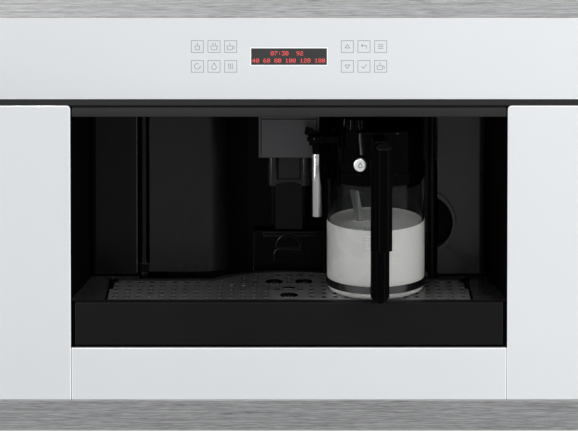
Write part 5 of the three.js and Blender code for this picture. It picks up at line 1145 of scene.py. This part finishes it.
# %% Dress the lid and the handle, and turn the foot band
BAND_T = 0.9
BAND_EDGE = 0.3

dressed("jug_handle", GLOSS_AND_SHADE, 1.0, 4, shine=EDGE)
dressed("jug_grip", GLOSS_AND_SHADE, 1.4, 5, shine=EDGE)
dressed("jug_lid", GLOSS_AND_SHADE, 0.6, 3, 24, shine=EDGE)
foot_band = Span("jug_base_band")
band_r = foot_band.width / 2
band_in = band_r - BAND_T
low, high = foot_band.z0, foot_band.z1
hoop = [(band_in, low), (band_r - BAND_EDGE, low), (band_r, low + BAND_EDGE), (band_r, high - BAND_EDGE)]
hoop += [(band_r - BAND_EDGE, high), (band_in, high), (band_in, low)]
rebuilt("jug_base_band", lathe(hoop, axis, JUG_STEPS), BAND)
print("band radius", round(band_r, 1))

# %% [markdown]
# The froth dial is turned between two fingers, so its side has round grooves above a plain foot. The lathe's
# wave pulls the radius in at each groove, which is quicker than cutting twelve of them.

# %% Froth dial
FLUTES = 12
FLUTE_DEPTH = 0.085
DIAL_HEIGHT = 12.3
DIAL_FOOT = 3
STEM_R = 4
CROWN_R = 1.6

dial = Span("froth_dial")
dial_r = dial.width / 2
dial_floor = dial.z1 - DIAL_HEIGHT
flute_z = dial_floor + DIAL_FOOT


def flutes(angle, height):
    """Round grooves down the dial's side, above its plain foot."""
    if height < flute_z:
        return 1
    return 1 - FLUTE_DEPTH * max(0.0, math.cos(FLUTES * angle)) ** 3


stem = [(0, dial.z0), (STEM_R, dial.z0), (STEM_R, dial_floor)]
flank = [(dial_r - 0.5, dial_floor), (dial_r, dial_floor + 0.5), (dial_r, flute_z - 0.1)]
flank += [(dial_r - 0.2, flute_z + 0.6), (dial_r - 0.8, dial.z1 - CROWN_R)]
crown = arc(dial_r - 2.4, dial.z1 - CROWN_R, CROWN_R, 0, 90, 4)
crown += [(dial_r - 4.2, dial.z1), (dial_r - 4.8, dial.z1 - 0.5), (0, dial.z1 - 0.5)]
rebuilt("froth_dial", lathe(stem + flank + crown, (dial.cx, dial.cy), 144, flutes), GLOSS_AND_SHADE)
print("dial radius", round(dial_r, 1))

# %% [markdown]
# The clean button is a silver dome with a printed drop. It looks to the front, so it is turned upright at
# the origin and then laid over: what was height becomes depth.

# %% Clean button with its drop
DOME_R = 1.4
DOME_EDGE = 1.5
DROP_SIZE = 9.5
DROP_W = 0.7
DROP_T = 0.06

button = Span("clean_button")
button_r = button.width / 2
depth = button.y1 - button.y0
rounded = arc(button_r - DOME_R, depth - DOME_EDGE, DOME_R, 0, 75, 5)
dome = [(0, 0), (button_r, 0), (button_r, depth - DOME_EDGE), *rounded, (3, depth - 0.05), (0, depth)]
turned, faces = lathe(dome, steps=64)
facing = [(button.cx + x, button.y1 - out, button.cz + y) for x, y, out in turned]
rebuilt("clean_button", (facing, faces), BUTTON, 40)
drop = [(button.cx + u * DROP_SIZE, button.y0 + DROP_T, button.cz + v * DROP_SIZE) for u, v in DROP]
build("clean_button_drop", [band(drop, DROP_W, DROP_T)], DARK_INK, "clean_button")
print("button radius", round(button_r, 1))

# %% [markdown]
# The milk spout is a plated tube with a rolled end, and its knuckle is moulded. A tube's profile goes up the
# outside, over the rim and back down the bore.

# %% Milk spout
TUBE_WALL = 1.4

spout = Span("milk_spout_tube")
spout_r = spout.width / 2
bore = spout_r - TUBE_WALL
rolled = arc(spout_r - TUBE_WALL / 2, spout.z0 + TUBE_WALL / 2, TUBE_WALL / 2, 225, 360, 5)
tube_wall = [(bore, spout.z0), *rolled, (spout_r, spout.z1 - 1.2), (spout_r - 0.3, spout.z1 - 0.4)]
tube_wall += [(spout_r - 0.9, spout.z1), (bore, spout.z1), (bore, spout.z0)]
rebuilt("milk_spout_tube", lathe(tube_wall, (spout.cx, spout.cy), 96), CHROME, 50)
dressed("milk_spout_knuckle", GLOSS_AND_SHADE, 0.6, 3, shine=EDGE)
print("milk spout", round(spout_r, 1), "mm in radius")

# %% [markdown]
# The tank's front has a half-round cut-out for the fingers, which is black behind in the photograph. A thin
# black half disc in front of the clear tank paints that shade, and rides with the tank.

# %% Dress the tank and paint the shade in its finger pocket
FINGER = (135.3, 192.8)  # the middle of the cut-out
FINGER_R = 38
FINGER_TURN = 62
POCKET_GAP = 1.2
POCKET_T = 0.8

dressed("water_tank", CLEAR, 0.5)
dressed("tank_lid", GREY, 0.5)
# The tank's front takes the lighter black: painted light.
dressed("tank_front", TANK_LIT, 0.6, 3, shine=SATIN_HIGHLIGHT)
pocket_y = Span("water_tank").y0 - POCKET_GAP
half_disc = arc(*FINGER, FINGER_R, -FINGER_TURN, FINGER_TURN, 31)
count = len(half_disc)
points = [(x, y, z) for y in (pocket_y, pocket_y + POCKET_T) for x, z in half_disc]
walls = [[i, (i + 1) % count, (i + 1) % count + count, i + count] for i in range(count)]
caps = [list(range(count)), list(range(count, 2 * count))]
# A black half disc where there is only shade: a painted shade in the finger pocket.
build("finger_pocket_painted_shade", [(points, caps + walls)], CHEEK_AND_SHADE, "tank_front")
print("pocket back at", round(pocket_y, 1))

# %% [markdown]
# Behind the front, the casing is galvanised sheet and the runners are plated steel. The works inside show
# only when a lid or a door is open, and each has the finish of its kind: cast metal, brass or plastic.

# %% Dress the casing and the works
for name in ("base_plate", "right_side_panel", "left_side_panel", "back_panel", "top_cover"):
    dressed(name, ZINC, 0.3)
for profile in ("outer", "middle", "inner"):
    for side in ("right", "left"):
        dressed(f"{side}_runner_{profile}", RUNNER, 0.3)

WORKS = {
    "bean_lid": (SMOKED, 0.5),
    "bean_hopper": (SMOKED, 0.3),
    "powder_flap": (SATIN, 0.4),
    "grind_knob": (SATIN, 0.4),
    "power_inlet": (SATIN, 0.4),
    "main_switch": (GLOSS_AND_SHADE, 0.3),
    "brew_unit": (SATIN, 0.6),
    "grinder": (CAST, 0.8),
    "boilers": (CAST, 0.5),
    "water_pump": (BRASS, 0.6),
    "suction_hose": (GREY, 0.2),
    "steam_nozzle": (CHROME, 0.2),
    "coffee_pipe": (GREY, 0.2),
    "power_board": (BOARD, 0.2),
}
for name, (material, edge) in WORKS.items():
    dressed(name, material, edge)

# %% [markdown]
# The cover and the sides are held by round-headed screws with a recess that reads as a dark dot. One head is
# turned, and stands on the roof as it is. On a side panel its height becomes the way outwards.

# %% Screws of the casing
SCREW_R = 3.6
SCREW_H = 1.9
SOCKET_R = 1.4
SOCKET_DEPTH = 1.1
ROOF_SCREWS = [(x, y) for x in (-256, 0, 256) for y in (32, 388)]
SIDE_SCREWS = ((32, 428), (210, 428), (386, 428), (32, 100), (386, 100))  # y, z

socket_z = SCREW_H - SOCKET_DEPTH
head = [(0, socket_z), (SOCKET_R, socket_z), (SOCKET_R, SCREW_H)]
head += [(2.4, SCREW_H - 0.2), (3.2, SCREW_H - 0.8), (SCREW_R, 0.4), (SCREW_R, 0)]
roof = Span("top_cover")
heads = [lathe([(radius, roof.z1 + up) for radius, up in head], place, 24) for place in ROOF_SCREWS]
build("top_cover_screws", heads, RUNNER, "top_cover", angle=50)

turned, faces = lathe(head, steps=24)
for name, face, way in (
    ("right_side_panel", Span("right_side_panel").x1, 1),
    ("left_side_panel", Span("left_side_panel").x0, -1),
):
    heads = [([(face + way * out, y + a, z + b) for a, b, out in turned], faces) for y, z in SIDE_SCREWS]
    build(name + "_screws", heads, RUNNER, name, angle=50)
print("screws", len(ROOF_SCREWS) + 2 * len(SIDE_SCREWS))

# %% [markdown]
# A wide floor carries the shadow. It is dull and has no gloss of its own, so that no lamp glares in it from
# behind.

# %% Floor
FLOOR_TONE = (0.86, 0.86, 0.86)
FLOOR_HALF = 90.0
FLOOR_GAP = 0.2

pale = Finish("pale_floor", FLOOR_TONE, 0.7, Specular_IOR_Level=0.0)
pale.drift(1.5, 0.985)
floor_mesh = bpy.data.meshes.new("floor")
work = bmesh.new()
bmesh.ops.create_grid(work, x_segments=8, y_segments=8, size=FLOOR_HALF)
work.to_mesh(floor_mesh)
work.free()
floor_mesh.materials.append(pale.material)
floor = bpy.data.objects.new("floor", floor_mesh)
floor.location.z = cad_box[0].z - FLOOR_GAP * MM
bpy.context.scene.collection.objects.link(floor)
print("floor", 2 * FLOOR_HALF, "m wide")

# %% [markdown]
# The world fills in what the lamps leave. It is white to the camera, to mirrors and through glass, whatever
# it gives to the rest, so that steel and glass show a white studio without more light on the machine.

# %% World
WORLD_FILL = 0.55


def larger(tree, first, second):
    return add(tree, "ShaderNodeMath", {0: first, 1: second}, operation="MAXIMUM").outputs[0]


world = bpy.data.worlds.new("studio")
bpy.context.scene.world = world
world.use_nodes = True
sky = world.node_tree
ray = add(sky, "ShaderNodeLightPath").outputs
white = larger(sky, larger(sky, ray["Is Camera Ray"], ray["Is Transmission Ray"]), ray["Is Glossy Ray"])
background = sky.nodes["Background"].inputs
background["Color"].default_value = (0.97, 0.985, 1.0, 1)
sky.links.new(ranged(sky, white, 0.0, 1.0, WORLD_FILL), background["Strength"])
print("world fill", WORLD_FILL)

# %% [markdown]
# Soft boxes light the front from above and from both sides, as in a product studio, and a weak one near the
# upper right brightens that corner of the front. Their strengths add up to a plain level, at which a colour
# renders about as it is written. Three narrow strips give the thin highlights along rounded black edges, and
# light nothing else.

# %% Lamps
AIM = (0, 0, 250)


def soft_box(name, place, width, height, power, target=AIM, mirrored=True):
    """A soft box at a place, in millimetres, that looks at a target. The camera doesn't see it."""
    light = bpy.data.lights.new(name, "AREA")
    light.shape = "RECTANGLE"
    light.size = width * MM
    light.size_y = height * MM
    light.energy = power
    made = bpy.data.objects.new(name, light)
    made.location = at(*place)
    made.rotation_mode = "QUATERNION"
    made.rotation_quaternion = (at(*target) - at(*place)).to_track_quat("-Z", "Y")
    made.visible_camera = False
    made.visible_glossy = mirrored
    bpy.context.scene.collection.objects.link(made)
    return made


def strip(name, place, width, height, power):
    """A narrow box that only shows as a highlight in glossy things."""
    made = soft_box(name, place, width, height, power)
    made.visible_diffuse = False
    made.visible_transmission = False


soft_box("key_right", (1500, -1750, 2100), 1500, 1500, 33, mirrored=False)
soft_box("glow_right", (820, -620, 980), 500, 500, 1.6, target=(260, 0, 430), mirrored=False)
soft_box("fill_left", (-2200, -2000, 1400), 1400, 1400, 9)
soft_box("rear_top", (400, 2200, 2400), 1800, 1800, 8)
strip("strip_left", (-1000, -1300, 500), 80, 900, 16)
strip("strip_right", (1500, -1100, 400), 60, 900, 14)
strip("strip_top", (100, -120, 1700), 900, 80, 5)
print("lamps", len(bpy.data.lights))
